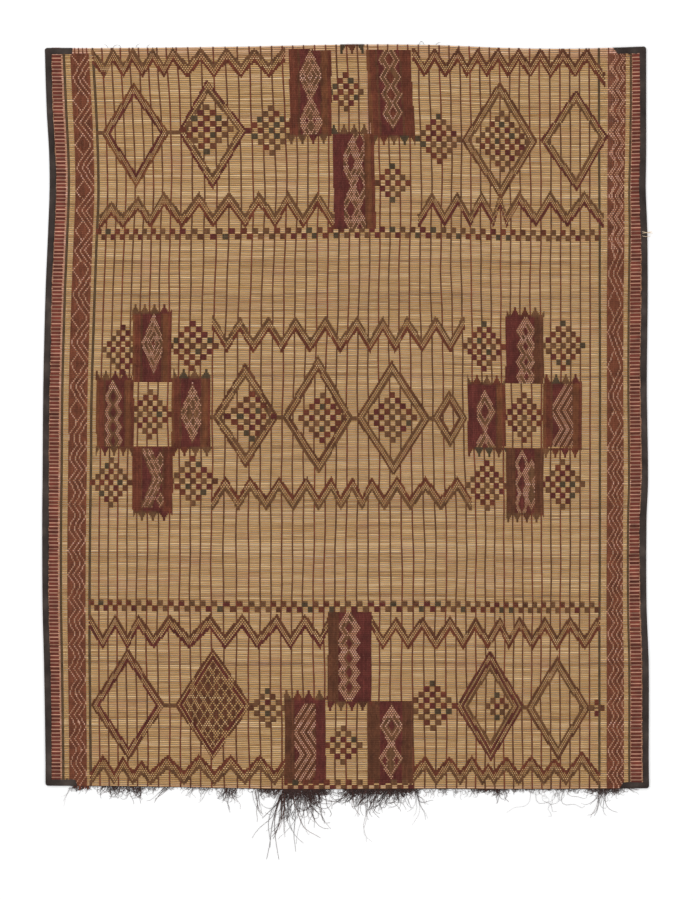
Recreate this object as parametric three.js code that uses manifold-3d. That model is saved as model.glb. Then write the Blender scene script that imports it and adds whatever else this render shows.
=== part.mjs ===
// A reed mat, lying face up on a floor. Dry grass stems lie side by side across its width and are worked
// together with leather. A strip of dark leather is folded over each side edge and turned round the corners,
// and a fringe of hair hangs out of the foot edge.
//
// Millimetres, +Z up. The mat's top edge is towards +Y and its foot towards -Y. The origin is the bottom
// centre of the whole object's box.
import * as THREE from "three";
import { mergeVertices } from "three/addons/utils/BufferGeometryUtils.js";
import Module from "manifold-3d";

// Sizes of the reed panel
const REEDS = 400; // stems from the top edge to the foot, 5 mm apart
const REED_CROWN = 4.6; // height of a stem's crown over the floor
const REED_GROOVE = 3.5; // height of the groove between two stems
const SIDE_STEPS = 25; // straight stretches in each side edge
const BOWED_REEDS = 12; // stems next to each end that follow the end's own waver
const END_INSET = 0.5; // the leather stands this far proud of the stems at the top edge and the foot

// Where the side edges run. up: distance from the mat's middle, left and right: distance of each edge
// from the centre line.
const SIDE_EDGES = [
  { up: 1000, left: -813, right: 810 },
  { up: 834, left: -808, right: 810 },
  { up: 707, left: -801, right: 810 },
  { up: 613, left: -800, right: 809 },
  { up: 500, left: -804, right: 813 },
  { up: 332, left: -811, right: 814 },
  { up: 81, left: -817, right: 812 },
  { up: -170, left: -819, right: 815 },
  { up: -278, left: -820, right: 811 },
  { up: -505, left: -819, right: 811 },
  { up: -672, left: -815, right: 817 },
  { up: -923, left: -811, right: 817 },
  { up: -1004, left: -811, right: 818 },
];

// Where the top and foot edges run. across: distance from the centre line, top and foot: distance of each
// edge from the mat's middle.
const END_EDGES = [
  { across: -820, top: 996, foot: -995 },
  { across: -637, top: 996, foot: -996 },
  { across: -420, top: 998, foot: -999 },
  { across: -184, top: 1002, foot: -1004 },
  { across: 11, top: 1006, foot: -1004 },
  { across: 238, top: 1004, foot: -1003 },
  { across: 400, top: 997, foot: -1004 },
  { across: 562, top: 994, foot: -1004 },
  { across: 691, top: 996, foot: -1003 },
  { across: 820, top: 1000, foot: -1002 },
];

// Sizes of the leather binding
const LEATHER = 1.2; // thickness of the strip
const GAP = 0.3; // clearance between neighbouring pieces
const SIDE_INSET = LEATHER + GAP + 0.1; // the stems' ends stop this far inside the leather's outer face
const REBATE = LEATHER + GAP; // the underside is hollowed this deep for the lower lip
const LIP = 18; // how far the strip reaches in from the edge, over and under the stems
const LIP_WAVER = 1.1; // how far the cut edge of the upper lip strays from a straight line
const CORNER_RADIUS = 8;
const INNER_CORNER = 1; // the mitred inner edge is blunted by this much
const MITRE_END = 24; // from the corner to where the strip runs straight again
const BINDING_TOP = REED_CROWN + GAP + LEATHER;
const EDGE_ROUNDING = 0.5;

// How far each strip turns in along the top and the foot, and how much shorter its inner edge is cut.
const CORNER_TURNS = {
  left: { topReach: 75, topSlant: 2, footReach: 86, footSlant: 6 },
  right: { topReach: 90, topSlant: 14, footReach: 80, footSlant: 10 },
};

// Sizes of the fringe. The strip that the hair is knotted on lies against the foot edge.
const STRIP_WIDTH = 4.5;
const STRIP_HEIGHT = 2.8;
const STRIP_STEP = 60;
const LOCK_SPACING = 8.5;
const LOCK_WIDTH = 1.9;
const LOCK_HEIGHT = 1.5;
const LOCK_TIP = 0.45; // a lock's last section, as a share of its width
const LOCK_ROOT_HEIGHT = 0.8; // a lock leaves the strip this far over the floor and comes down to it
const LOCK_LANDING = 6; // length over which it comes down
const LOCK_STEP = 22; // longest straight stretch of a lock
const CURL_LENGTH = 64;
const CURL_SIZE = 5.5;

// How far the hair reaches past the foot edge, and how far it leans sideways at its tip.
const FRINGES = {
  fringe_left: [
    { across: -722, reach: 15, lean: 4 },
    { across: -640, reach: 14, lean: 0 },
    { across: -625, reach: 38, lean: -8 },
    { across: -560, reach: 32, lean: 6 },
    { across: -505, reach: 62, lean: -14 },
    { across: -440, reach: 30, lean: -6 },
    { across: -375, reach: 60, lean: -16 },
    { across: -320, reach: 58, lean: 8 },
    { across: -275, reach: 42, lean: 0 },
    { across: -235, reach: 82, lean: 4 },
    { across: -205, reach: 62, lean: -10 },
    { across: -176, reach: 175, lean: -44 },
    { across: -150, reach: 150, lean: 10 },
    { across: -120, reach: 88, lean: 8 },
    { across: -90, reach: 92, lean: -14 },
    { across: -51, reach: 50, lean: -12 },
  ],
  fringe_right: [
    { across: -5, reach: 40, lean: -8 },
    { across: 30, reach: 66, lean: -14 },
    { across: 80, reach: 86, lean: -10 },
    { across: 130, reach: 74, lean: 4 },
    { across: 175, reach: 62, lean: 12 },
    { across: 225, reach: 84, lean: 24 },
    { across: 265, reach: 36, lean: 8 },
    { across: 345, reach: 30, lean: -6 },
    { across: 420, reach: 36, lean: 8 },
    { across: 500, reach: 46, lean: -8 },
    { across: 590, reach: 30, lean: 4 },
    { across: 650, reach: 40, lean: 6 },
    { across: 690, reach: 88, lean: -6 },
    { across: 718, reach: 58, lean: -4 },
    { across: 736, reach: 24, lean: 0 },
  ],
};

const wasm = await Module();
wasm.setup();

// A smooth curve through a table: a cubic between two rows, whose slope at each row is that of the line
// through the row's neighbours.
function along(table, placeKey, valueKey, place) {
  const forwards = table[1][placeKey] > table[0][placeKey] ? 1 : -1;
  let row = 0;
  while (row < table.length - 2 && (place - table[row + 1][placeKey]) * forwards > 0) row += 1;
  const slope = (index) => {
    const before = table[Math.max(index - 1, 0)];
    const after = table[Math.min(index + 1, table.length - 1)];
    return (after[valueKey] - before[valueKey]) / (after[placeKey] - before[placeKey]);
  };
  const span = table[row + 1][placeKey] - table[row][placeKey];
  const t = Math.min(Math.max((place - table[row][placeKey]) / span, 0), 1);
  const from = table[row][valueKey];
  const to = table[row + 1][valueKey];
  const ease = t * t * (3 - 2 * t);
  const leave = t * (1 - t) * (1 - t) * slope(row) * span;
  const arrive = t * t * (t - 1) * slope(row + 1) * span;
  return from + (to - from) * ease + leave + arrive;
}

const topEdge = (across) => along(END_EDGES, "across", "top", across);
const footEdge = (across) => along(END_EDGES, "across", "foot", across);

// The side edges are straight between evenly spaced stations, so that the stems' ends and the binding
// follow one line.
function sideEdge(side, up) {
  const top = SIDE_EDGES[0].up;
  const length = top - SIDE_EDGES[SIDE_EDGES.length - 1].up;
  const place = Math.min(Math.max(((top - up) / length) * SIDE_STEPS, 0), SIDE_STEPS);
  const station = Math.min(Math.floor(place), SIDE_STEPS - 1);
  const edgeAt = (index) => along(SIDE_EDGES, "up", side, top - (index / SIDE_STEPS) * length);
  return THREE.MathUtils.lerp(edgeAt(station), edgeAt(station + 1), place - station);
}

// A closed geometry from corner triples, its doubled corners merged and its faces turned outwards.
function closedGeometry(corners) {
  const soup = new THREE.BufferGeometry();
  soup.setAttribute("position", new THREE.Float32BufferAttribute(corners.flat(), 3));
  const geometry = mergeVertices(soup, 1e-4);
  const index = geometry.index.array;
  const position = geometry.getAttribute("position");
  const [a, b, c] = [new THREE.Vector3(), new THREE.Vector3(), new THREE.Vector3()];
  let sixVolumes = 0;
  for (let i = 0; i < index.length; i += 3) {
    a.fromBufferAttribute(position, index[i]);
    b.fromBufferAttribute(position, index[i + 1]);
    c.fromBufferAttribute(position, index[i + 2]);
    sixVolumes += a.dot(b.cross(c));
  }
  if (sixVolumes < 0) {
    for (let i = 0; i < index.length; i += 3) [index[i], index[i + 1]] = [index[i + 1], index[i]];
  }
  return geometry;
}

const solidOf = (geometry) =>
  new wasm.Manifold(
    new wasm.Mesh({
      numProp: 3,
      vertProperties: geometry.getAttribute("position").array,
      triVerts: new Uint32Array(geometry.index.array),
    }),
  );

function geometryOf(solid) {
  const mesh = solid.getMesh();
  const geometry = new THREE.BufferGeometry();
  geometry.setAttribute("position", new THREE.BufferAttribute(mesh.vertProperties, 3));
  geometry.setIndex(new THREE.BufferAttribute(mesh.triVerts, 1));
  return geometry;
}

// Triangles of a flat outline, as triples of the outline's own corner numbers, each one anticlockwise.
function fillOutline(points) {
  const flat = points.map(([x, y]) => new THREE.Vector2(x, y));
  return THREE.ShapeUtils.triangulateShape(flat, []).map(([a, b, c]) =>
    THREE.ShapeUtils.area([flat[a], flat[b], flat[c]]) > 0 ? [a, b, c] : [a, c, b],
  );
}

// A section carried through stations. Each station turns a section point into a place, and both ends are
// closed by the section itself.
function sweep(stations, section) {
  const rings = stations.map((station, k) => section(k).map((point) => station(point)));
  const count = rings[0].length;
  const corners = [];
  for (let k = 0; k + 1 < rings.length; k += 1) {
    for (let j = 0; j < count; j += 1) {
      const next = (j + 1) % count;
      corners.push(rings[k][j], rings[k][next], rings[k + 1][next]);
      corners.push(rings[k][j], rings[k + 1][next], rings[k + 1][j]);
    }
  }
  const wholeTurn = (points) => THREE.ShapeUtils.area(points.map(([x, y]) => new THREE.Vector2(x, y)));
  for (const [ring, points, first] of [
    [rings[0], section(0), true],
    [rings[rings.length - 1], section(rings.length - 1), false],
  ]) {
    const clockwise = wholeTurn(points) < 0;
    for (const [a, b, c] of fillOutline(points)) {
      const turned = clockwise !== first;
      corners.push(ring[a], ring[turned ? c : b], ring[turned ? b : c]);
    }
  }
  return closedGeometry(corners);
}

// Triangles between two rows of stems' points, both from left to right, whose points needn't match.
function stitch(upper, lower, corners) {
  let i = 0;
  let j = 0;
  while (i < upper.length - 1 || j < lower.length - 1) {
    const upperNext = i < upper.length - 1 ? upper[i + 1].share : Infinity;
    const lowerNext = j < lower.length - 1 ? lower[j + 1].share : Infinity;
    if (upperNext <= lowerNext) {
      corners.push(upper[i].at, lower[j].at, upper[i + 1].at);
      i += 1;
    } else {
      corners.push(upper[i].at, lower[j].at, lower[j + 1].at);
      j += 1;
    }
  }
}

// The reed panel: two rows of points to a stem, one in the groove and one on the crown. Most rows need
// three points, and the rows by the ends have more, to follow the ends' waver.
function reedPanel() {
  const rows = 2 * REEDS;
  const wide = END_EDGES[END_EDGES.length - 1].across;
  const fine = END_EDGES.map((row) => (row.across + wide) / (2 * wide));
  const coarse = [0, 0.5, 1];

  // Height on the page of a point that lies a share of the way across and a number of stems down
  function upAt(share, stems) {
    const ends = (part) => {
      const across = (part * 2 - 1) * wide;
      return [topEdge(across) - END_INSET, footEdge(across) + END_INSET];
    };
    const bent = (which) => {
      const half = share < 0.5 ? [0, 0.5] : [0.5, 1];
      const t = (share - half[0]) * 2;
      return THREE.MathUtils.lerp(ends(half[0])[which], ends(half[1])[which], t);
    };
    const fromFoot = REEDS - stems;
    const nearTop = Math.max(0, 1 - stems / BOWED_REEDS);
    const nearFoot = Math.max(0, 1 - fromFoot / BOWED_REEDS);
    const top = bent(0) + nearTop * (ends(share)[0] - bent(0));
    const foot = bent(1) + nearFoot * (ends(share)[1] - bent(1));
    return THREE.MathUtils.lerp(top, foot, stems / REEDS);
  }

  function pointAt(share, row, height) {
    const up = upAt(share, row / 2);
    const left = sideEdge("left", up) + SIDE_INSET;
    const right = sideEdge("right", up) - SIDE_INSET;
    return [THREE.MathUtils.lerp(left, right, share), up, height];
  }

  const bowed = 2 * BOWED_REEDS;
  const rowPoints = (row) => {
    const shares = row < bowed || row > rows - bowed ? fine : coarse;
    const height = row % 2 ? REED_CROWN : REED_GROOVE;
    return shares.map((share) => ({ share, at: pointAt(share, row, height) }));
  };

  const corners = [];
  const top = Array.from({ length: rows + 1 }, (_, row) => rowPoints(row));
  for (let row = 0; row < rows; row += 1) stitch(top[row], top[row + 1], corners);

  // The side walls: a plain band below, and over each of its long stretches a fan of the stems' ends
  const band = (REBATE + REED_GROOVE) / 2;
  const rowsPerStep = rows / SIDE_STEPS;
  for (const [share, pick, turned] of [
    [0, 0, true],
    [1, -1, false],
  ]) {
    const push = (a, b, c) => corners.push(a, turned ? c : b, turned ? b : c);
    for (let step = 0; step < SIDE_STEPS; step += 1) {
      const first = step * rowsPerStep;
      const middle = first + rowsPerStep / 2;
      const last = first + rowsPerStep;
      const low = [pointAt(share, first, band), pointAt(share, last, band)];
      const floor = [pointAt(share, first, 0), pointAt(share, last, 0)];
      push(floor[0], low[0], low[1]);
      push(floor[0], low[1], floor[1]);
      for (let row = first; row < last; row += 1) {
        push(low[row < middle ? 0 : 1], top[row].at(pick).at, top[row + 1].at(pick).at);
      }
      push(low[0], top[middle].at(pick).at, low[1]);
    }
  }

  // The end walls and the flat underside
  const lowTop = fine.map((share) => pointAt(share, 0, 0));
  const lowFoot = fine.map((share) => pointAt(share, rows, 0));
  const last = fine.length - 1;
  for (const [row, low, turned] of [
    [0, lowTop, false],
    [rows, lowFoot, true],
  ]) {
    const push = (a, b, c) => corners.push(a, turned ? c : b, turned ? b : c);
    for (let k = 0; k < last; k += 1) {
      push(low[k], top[row][k].at, top[row][k + 1].at);
      push(low[k], top[row][k + 1].at, low[k + 1]);
    }
    push(low[0], pointAt(0, row, band), top[row][0].at);
    push(low[last], top[row][last].at, pointAt(1, row, band));
  }
  const sideLow = (share) =>
    Array.from({ length: SIDE_STEPS - 1 }, (_, k) => pointAt(share, (k + 1) * rowsPerStep, 0));
  const outline = [...lowTop, ...sideLow(1), ...lowFoot.toReversed(), ...sideLow(0).toReversed()];
  for (const [a, b, c] of fillOutline(outline)) corners.push(outline[a], outline[c], outline[b]);
  return closedGeometry(corners);
}

// The binding's line: from the inner end of its turn along the top, round the corner, down the side, round
// the lower corner and in along the foot. Each station has its place on the outer edge and the place that
// lies one lip inwards. over lengthens the line at both ends.
function bindingLine(side, over) {
  const inward = side === "left" ? 1 : -1;
  const turns = CORNER_TURNS[side];
  const line = [];
  const put = (outer, inner) =>
    line.push(([inset, height]) => {
      const t = inset / LIP;
      return [
        THREE.MathUtils.lerp(outer[0], inner[0], t),
        THREE.MathUtils.lerp(outer[1], inner[1], t),
        height,
      ];
    });

  const cornerX = (down) => sideEdge(side, down > 0 ? SIDE_EDGES[0].up : SIDE_EDGES.at(-1).up);
  const endUp = (down, x) => (down > 0 ? topEdge(x) : footEdge(x));

  // down is 1 at the top edge, where the inside of the mat lies below, and -1 at the foot
  function turnIn(down, reach, slant) {
    const x0 = cornerX(down);
    const outerX = x0 + inward * (reach + over);
    const innerX = outerX - inward * slant;
    const straightX = x0 + inward * MITRE_END;
    return [
      () => put([outerX, endUp(down, outerX)], [innerX, endUp(down, innerX) - down * LIP]),
      () => put([straightX, endUp(down, straightX)], [straightX, endUp(down, straightX) - down * LIP]),
    ];
  }

  // Three stations round a corner, from its end on the top or foot edge to its end on the side
  function corner(down) {
    const x0 = cornerX(down);
    const y0 = endUp(down, x0);
    return [0, 0.5, 1].map((t) => () => {
      const angle = (t * Math.PI) / 2;
      const outer = [
        x0 + inward * CORNER_RADIUS * (1 - Math.sin(angle)),
        y0 - down * CORNER_RADIUS * (1 - Math.cos(angle)),
      ];
      const inner = [
        x0 + inward * (LIP + INNER_CORNER * (1 - t)),
        y0 - down * (LIP + INNER_CORNER * t),
      ];
      put(outer, inner);
    });
  }

  const sideStation = (up) => {
    const x = sideEdge(side, up);
    put([x, up], [x + inward * LIP, up]);
  };

  turnIn(1, turns.topReach, turns.topSlant).forEach((station) => station());
  corner(1).forEach((station) => station());
  const first = endUp(1, cornerX(1)) - MITRE_END;
  const last = endUp(-1, cornerX(-1)) + MITRE_END;
  const top = SIDE_EDGES[0].up;
  const length = top - SIDE_EDGES.at(-1).up;
  sideStation(first);
  for (let step = 1; step < SIDE_STEPS; step += 1) sideStation(top - (step / SIDE_STEPS) * length);
  sideStation(last);
  corner(-1)
    .toReversed()
    .forEach((station) => station());
  turnIn(-1, turns.footReach, turns.footSlant)
    .toReversed()
    .forEach((station) => station());
  return line;
}

// The strip's section: up over the edge of the mat, with one lip on the stems and one beneath them. The
// upper lip's cut edge strays a little from station to station.
function bindingSection(station) {
  const stray = 0.6 * Math.sin(station * 1.7) + 0.4 * Math.sin(station * 0.63 + 1);
  const upperLip = LIP + LIP_WAVER * stray;
  return [
    [EDGE_ROUNDING, 0],
    [LIP, 0],
    [LIP, LEATHER],
    [LEATHER, LEATHER],
    [LEATHER, BINDING_TOP - LEATHER],
    [upperLip, BINDING_TOP - LEATHER],
    [upperLip, BINDING_TOP],
    [EDGE_ROUNDING, BINDING_TOP],
    [0, BINDING_TOP - EDGE_ROUNDING],
    [0, EDGE_ROUNDING],
  ];
}

const binding = (side) => sweep(bindingLine(side, 0), bindingSection);

// What the panel gives way to: the strip's wall outside the stems, and the lower lip under them
function bindingRoom(side) {
  const outside = -12;
  const below = -1;
  const above = BINDING_TOP + 4;
  const wall = LEATHER + GAP;
  const section = () => [
    [outside, below],
    [LIP + GAP, below],
    [LIP + GAP, REBATE],
    [wall, REBATE],
    [wall, above],
    [outside, above],
  ];
  return sweep(bindingLine(side, GAP), section);
}

// A lock of hair: a three-sided section on the floor, tapering to a point. It follows its lean and a long
// slow curl that all its neighbours share, so that no two locks meet.
function lock(across, reach, lean) {
  const steps = Math.max(2, Math.ceil(reach / LOCK_STEP));
  const rootUp = footEdge(across) + END_INSET - GAP - STRIP_WIDTH / 2;
  const sideways = (t) => {
    const depth = t * reach;
    const curl = CURL_SIZE * Math.sin((depth / CURL_LENGTH) * 2 * Math.PI) * Math.min(1, depth / CURL_LENGTH);
    return lean * t * t + curl;
  };
  const rings = [];
  const ring = (depth, t, share, floor) => {
    const x = across + sideways(t);
    const half = (LOCK_WIDTH * share) / 2;
    const up = rootUp - depth;
    rings.push([
      [x - half, up, floor],
      [x + half, up, floor],
      [x, up, floor + LOCK_HEIGHT * share],
    ]);
  };
  ring(0, 0, 1, LOCK_ROOT_HEIGHT);
  ring(LOCK_LANDING, 0, 1, 0);
  for (let k = 1; k < steps; k += 1) {
    const t = k / steps;
    ring(LOCK_LANDING + t * reach, t, THREE.MathUtils.lerp(1, LOCK_TIP, t), 0);
  }
  const tip = [across + sideways(1), rootUp - LOCK_LANDING - reach, 0];
  const corners = [];
  for (let k = 0; k + 1 < rings.length; k += 1) {
    for (let j = 0; j < 3; j += 1) {
      const next = (j + 1) % 3;
      corners.push(rings[k][j], rings[k][next], rings[k + 1][next]);
      corners.push(rings[k][j], rings[k + 1][next], rings[k + 1][j]);
    }
  }
  const last = rings.at(-1);
  for (let j = 0; j < 3; j += 1) corners.push(last[j], last[(j + 1) % 3], tip);
  corners.push(rings[0][0], rings[0][2], rings[0][1]);
  return closedGeometry(corners);
}

// A fringe: a narrow strip against the foot edge and the locks whose roots are in it. Lengths vary from
// lock to lock in a fixed, uneven order.
function fringe(table) {
  const first = table[0].across;
  const last = table.at(-1).across;
  const stretches = Math.round((last - first) / STRIP_STEP);
  const stations = Array.from({ length: stretches + 1 }, (_, k) => {
    const x = THREE.MathUtils.lerp(first, last, k / stretches);
    return ([down, height]) => [x, footEdge(x) + END_INSET - GAP - down, height];
  });
  const strip = sweep(stations, () => [
    [0, 0],
    [STRIP_WIDTH, 0],
    [STRIP_WIDTH, STRIP_HEIGHT],
    [0, STRIP_HEIGHT],
  ]);
  const count = Math.floor((last - first - LOCK_WIDTH * 2) / LOCK_SPACING);
  const locks = Array.from({ length: count }, (_, k) => {
    const across = first + LOCK_WIDTH + (k + 0.5) * LOCK_SPACING;
    const uneven = 0.68 + 0.32 * Math.sin(k * 2.4) * Math.cos(k * 0.7);
    return lock(across, along(table, "across", "reach", across) * uneven, along(table, "across", "lean", across));
  });
  return geometryOf(wasm.Manifold.union([solidOf(strip), ...locks.map(solidOf)]));
}

const materials = {
  reed: new THREE.MeshStandardMaterial({ color: 0xc4a46c, roughness: 0.6, metalness: 0 }),
  binding: new THREE.MeshStandardMaterial({ color: 0x372d2a, roughness: 0.65, metalness: 0 }),
  hair: new THREE.MeshStandardMaterial({ color: 0x3d2a25, roughness: 0.8, metalness: 0 }),
};

const mat = new THREE.Group();

function add(name, geometry, material) {
  geometry.computeVertexNormals();
  const mesh = new THREE.Mesh(geometry, material);
  mesh.name = name;
  mat.add(mesh);
}

const stems = solidOf(reedPanel())
  .subtract(solidOf(bindingRoom("left")))
  .subtract(solidOf(bindingRoom("right")));
add("reed_panel", geometryOf(stems), materials.reed);
for (const side of ["left", "right"]) add(`binding_${side}`, binding(side), materials.binding);
for (const [name, table] of Object.entries(FRINGES)) add(name, fringe(table), materials.hair);

// The origin goes to the bottom centre of everything built.
const box = new THREE.Box3().setFromObject(mat);
const centre = box.getCenter(new THREE.Vector3());
mat.position.set(-centre.x, -centre.y, -box.min.z);

export default mat;
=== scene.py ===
# %% [markdown]
# # A reed mat worked with leather, made step by step
#
# The real mat is a floor mat of dry grass stems, about 1.6 m wide and 2 m long. The stems lie side by side
# across its width. Narrow leather strips run down its length over and under the stems: some as plain dark
# thongs, and others, dyed red brown, olive, plum and slate, as the pattern. Dark leather is folded over the
# side edges, and hair hangs out of the foot edge.
#
# The mat could be one flat sheet with a painted pattern, but then nothing would catch the light. Here each
# stem is a tube and each leather strip is a ribbon that rides over the stems and dives between them, so the
# pattern is made as the maker makes it: by choosing, stem by stem, where a strip passes over.
#
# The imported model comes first, as the fixed frame that everything else is measured from.

import bpy
import numpy as np
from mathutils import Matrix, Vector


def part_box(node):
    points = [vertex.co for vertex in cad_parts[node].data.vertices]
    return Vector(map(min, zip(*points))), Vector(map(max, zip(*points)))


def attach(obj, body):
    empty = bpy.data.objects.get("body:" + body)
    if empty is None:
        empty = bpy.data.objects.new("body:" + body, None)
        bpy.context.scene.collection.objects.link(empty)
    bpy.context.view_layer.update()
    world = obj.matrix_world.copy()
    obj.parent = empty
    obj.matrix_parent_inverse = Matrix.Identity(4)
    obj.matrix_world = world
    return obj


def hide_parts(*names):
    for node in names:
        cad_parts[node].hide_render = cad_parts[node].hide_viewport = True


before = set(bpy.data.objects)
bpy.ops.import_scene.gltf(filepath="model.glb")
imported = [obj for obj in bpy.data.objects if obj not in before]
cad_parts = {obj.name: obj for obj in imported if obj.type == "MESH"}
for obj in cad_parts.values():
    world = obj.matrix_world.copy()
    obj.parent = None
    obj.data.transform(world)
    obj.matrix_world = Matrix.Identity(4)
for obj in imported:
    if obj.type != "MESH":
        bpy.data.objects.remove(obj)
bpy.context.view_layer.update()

BODY = "root"
print("nodes:", sorted(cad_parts))

# %% [markdown]
# ## The photograph's frame
#
# The mat is seen square on from above, so a place in the photograph is a place on the mat. One pixel is
# 2.7 mm. Places that were read off the photograph keep their pixel numbers, under names that end in _px,
# and lengths of the real thing are in millimetres, under names that end in _mm.

# %% Scale, and where the mat's middle lies
MM = 0.001
PIXEL_MM = 2.7
IMAGE_WIDE_PX = 693
IMAGE_HIGH_PX = 900
MIDDLE_X_PX = 346.0
MIDDLE_Y_PX = 417.0
REEDS = 400

# The mat's edges, as distances from its middle. Seen from above, up is towards the top edge.
SIDE_EDGES = {
    "up_mm": [1000, 834, 707, 613, 500, 332, 81, -170, -278, -505, -672, -923, -1004],
    "left_mm": [-813, -808, -801, -800, -804, -811, -817, -819, -820, -819, -815, -811, -811],
    "right_mm": [810, 810, 810, 809, 813, 814, 812, 815, 811, 811, 817, 817, 818],
}
END_EDGES = {
    "across_mm": [-820, -637, -420, -184, 11, 238, 400, 562, 691, 820],
    "top_mm": [996, 996, 998, 1002, 1006, 1004, 997, 994, 996, 1000],
    "foot_mm": [-995, -996, -999, -1004, -1004, -1003, -1004, -1004, -1003, -1002],
}
END_INSET_MM = 0.5


def along(table, places, values, at):
    """A smooth curve through a table. Between two rows it is a cubic, whose slope at each row is the slope
    of the line through that row's neighbours."""
    x = np.array(table[places], float)
    y = np.array(table[values], float)
    if x[0] > x[-1]:
        x = x[::-1]
        y = y[::-1]
    slope = np.empty_like(y)
    slope[1:-1] = (y[2:] - y[:-2]) / (x[2:] - x[:-2])
    slope[0] = (y[1] - y[0]) / (x[1] - x[0])
    slope[-1] = (y[-1] - y[-2]) / (x[-1] - x[-2])
    at = np.asarray(at, float)
    row = np.clip(np.searchsorted(x, at) - 1, 0, len(x) - 2)
    span = x[row + 1] - x[row]
    t = np.clip((at - x[row]) / span, 0, 1)
    ease = t * t * (3 - 2 * t)
    leave = t * (1 - t) ** 2 * slope[row] * span
    arrive = t * t * (t - 1) * slope[row + 1] * span
    return y[row] + (y[row + 1] - y[row]) * ease + leave + arrive


panel_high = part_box("reed_panel")[1]
binding_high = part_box("binding_right")[1]
SHIFT_X = binding_high[0] - max(SIDE_EDGES["right_mm"]) * MM
SHIFT_Y = panel_high[1] - (max(END_EDGES["top_mm"]) - END_INSET_MM) * MM
print("the mat's middle is at", round(SHIFT_X, 4), round(SHIFT_Y, 4))


def to_frame(x_px, y_px, height):
    """Places in the photograph, and heights over the floor in metres, as points in the frame."""
    x = (x_px - MIDDLE_X_PX) * PIXEL_MM * MM + SHIFT_X
    y = (MIDDLE_Y_PX - y_px) * PIXEL_MM * MM + SHIFT_Y
    return np.stack(np.broadcast_arrays(x, y, height), axis=-1)


# %% [markdown]
# ## Camera, floor and light
#
# A long lens straight above gives the flat, square view of the photograph. The floor is nearly white and
# the light comes from large soft panels, a little stronger from the top left, so that every stem keeps a
# light side and a dark side.

# %% Camera
LENS_MM = 85.0
SENSOR_MM = 36.0
frame_high = IMAGE_HIGH_PX * PIXEL_MM * MM
centre = to_frame(IMAGE_WIDE_PX / 2, IMAGE_HIGH_PX / 2, 0.0)
camera_data = bpy.data.cameras.new("overhead")
camera_data.lens = LENS_MM
camera_data.sensor_width = SENSOR_MM
camera_data.clip_end = 50.0
camera = bpy.data.objects.new("overhead", camera_data)
camera.location = (centre[0], centre[1], frame_high * LENS_MM / SENSOR_MM)
bpy.context.scene.collection.objects.link(camera)
bpy.context.scene.camera = camera
print("the camera is", round(camera.location.z, 2), "m up")

# %% Soft light
PANELS = [
    {"name": "light_top_left", "at": (-2.6, 2.4, 4.2), "wide": 3.0, "watts": 95.0},
    {"name": "light_right", "at": (3.4, -0.6, 4.4), "wide": 3.5, "watts": 50.0},
]
for panel in PANELS:
    lamp = bpy.data.lights.new(panel["name"], "AREA")
    lamp.shape = "SQUARE"
    lamp.size = panel["wide"]
    lamp.energy = panel["watts"]
    holder = bpy.data.objects.new(panel["name"], lamp)
    holder.location = panel["at"]
    away = -np.array(panel["at"])
    holder.rotation_euler = (
        np.arctan2(np.hypot(away[0], away[1]), -away[2]),
        0.0,
        np.arctan2(away[1], away[0]) - np.pi / 2,
    )
    bpy.context.scene.collection.objects.link(holder)

world = bpy.data.worlds.new("soft_sky")
world.use_nodes = True
sky = world.node_tree.nodes["Background"]
sky.inputs["Color"].default_value = (1.0, 1.0, 1.0, 1.0)
sky.inputs["Strength"].default_value = 0.86
bpy.context.scene.world = world
bpy.context.scene.view_settings.view_transform = "Standard"


# %% [markdown]
# ## Putting worked-out points into a mesh
#
# Every piece below is an array of points and an array of faces. This helper puts them into a mesh in one
# go, adds the values that the material reads, and lets the piece ride on the mat's body.

# %% Helpers for meshes
def make_piece(name, points, quads, triangles=None, values=None, colours=None, map_uv=None):
    """One mesh object from numpy arrays. values and colours hold one entry per point, and map_uv one per
    face corner, the quads' corners first."""
    loops = []
    starts = []
    offset = 0
    for faces in (quads, triangles):
        if faces is not None:
            loops.append(faces.ravel())
            starts.append(offset + np.arange(len(faces)) * faces.shape[1])
            offset += faces.size
    loops = np.concatenate(loops).astype(np.int32)
    starts = np.concatenate(starts).astype(np.int32)
    mesh = bpy.data.meshes.new(name)
    mesh.vertices.add(len(points))
    mesh.vertices.foreach_set("co", np.ascontiguousarray(points, np.float32).ravel())
    mesh.loops.add(len(loops))
    mesh.loops.foreach_set("vertex_index", loops)
    mesh.polygons.add(len(starts))
    mesh.polygons.foreach_set("loop_start", starts)
    mesh.update(calc_edges=True)
    mesh.shade_smooth()
    for label, data in (values or {}).items():
        layer = mesh.attributes.new(label, "FLOAT", "POINT")
        layer.data.foreach_set("value", np.ascontiguousarray(data, np.float32))
    for label, data in (colours or {}).items():
        layer = mesh.attributes.new(label, "FLOAT_COLOR", "POINT")
        rgba = np.concatenate([data, np.ones((len(data), 1))], axis=1)
        layer.data.foreach_set("color", np.ascontiguousarray(rgba, np.float32).ravel())
    if map_uv is not None:
        layer = mesh.uv_layers.new(name="OFBake")
        layer.data.foreach_set("uv", np.ascontiguousarray(map_uv, np.float32).ravel())
    piece = bpy.data.objects.new(name, mesh)
    bpy.context.scene.collection.objects.link(piece)
    return piece


def finish_piece(piece, material, replaces=()):
    """Gives the piece its material, hangs it under the mat's body, hides the model's parts that it replaces,
    and prints its triangles: a face with n corners makes n - 2 of them."""
    piece.data.materials.append(material)
    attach(piece, BODY)
    if replaces:
        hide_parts(*replaces)
    print(piece.name, len(piece.data.loops) - 2 * len(piece.data.polygons), "triangles")


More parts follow.
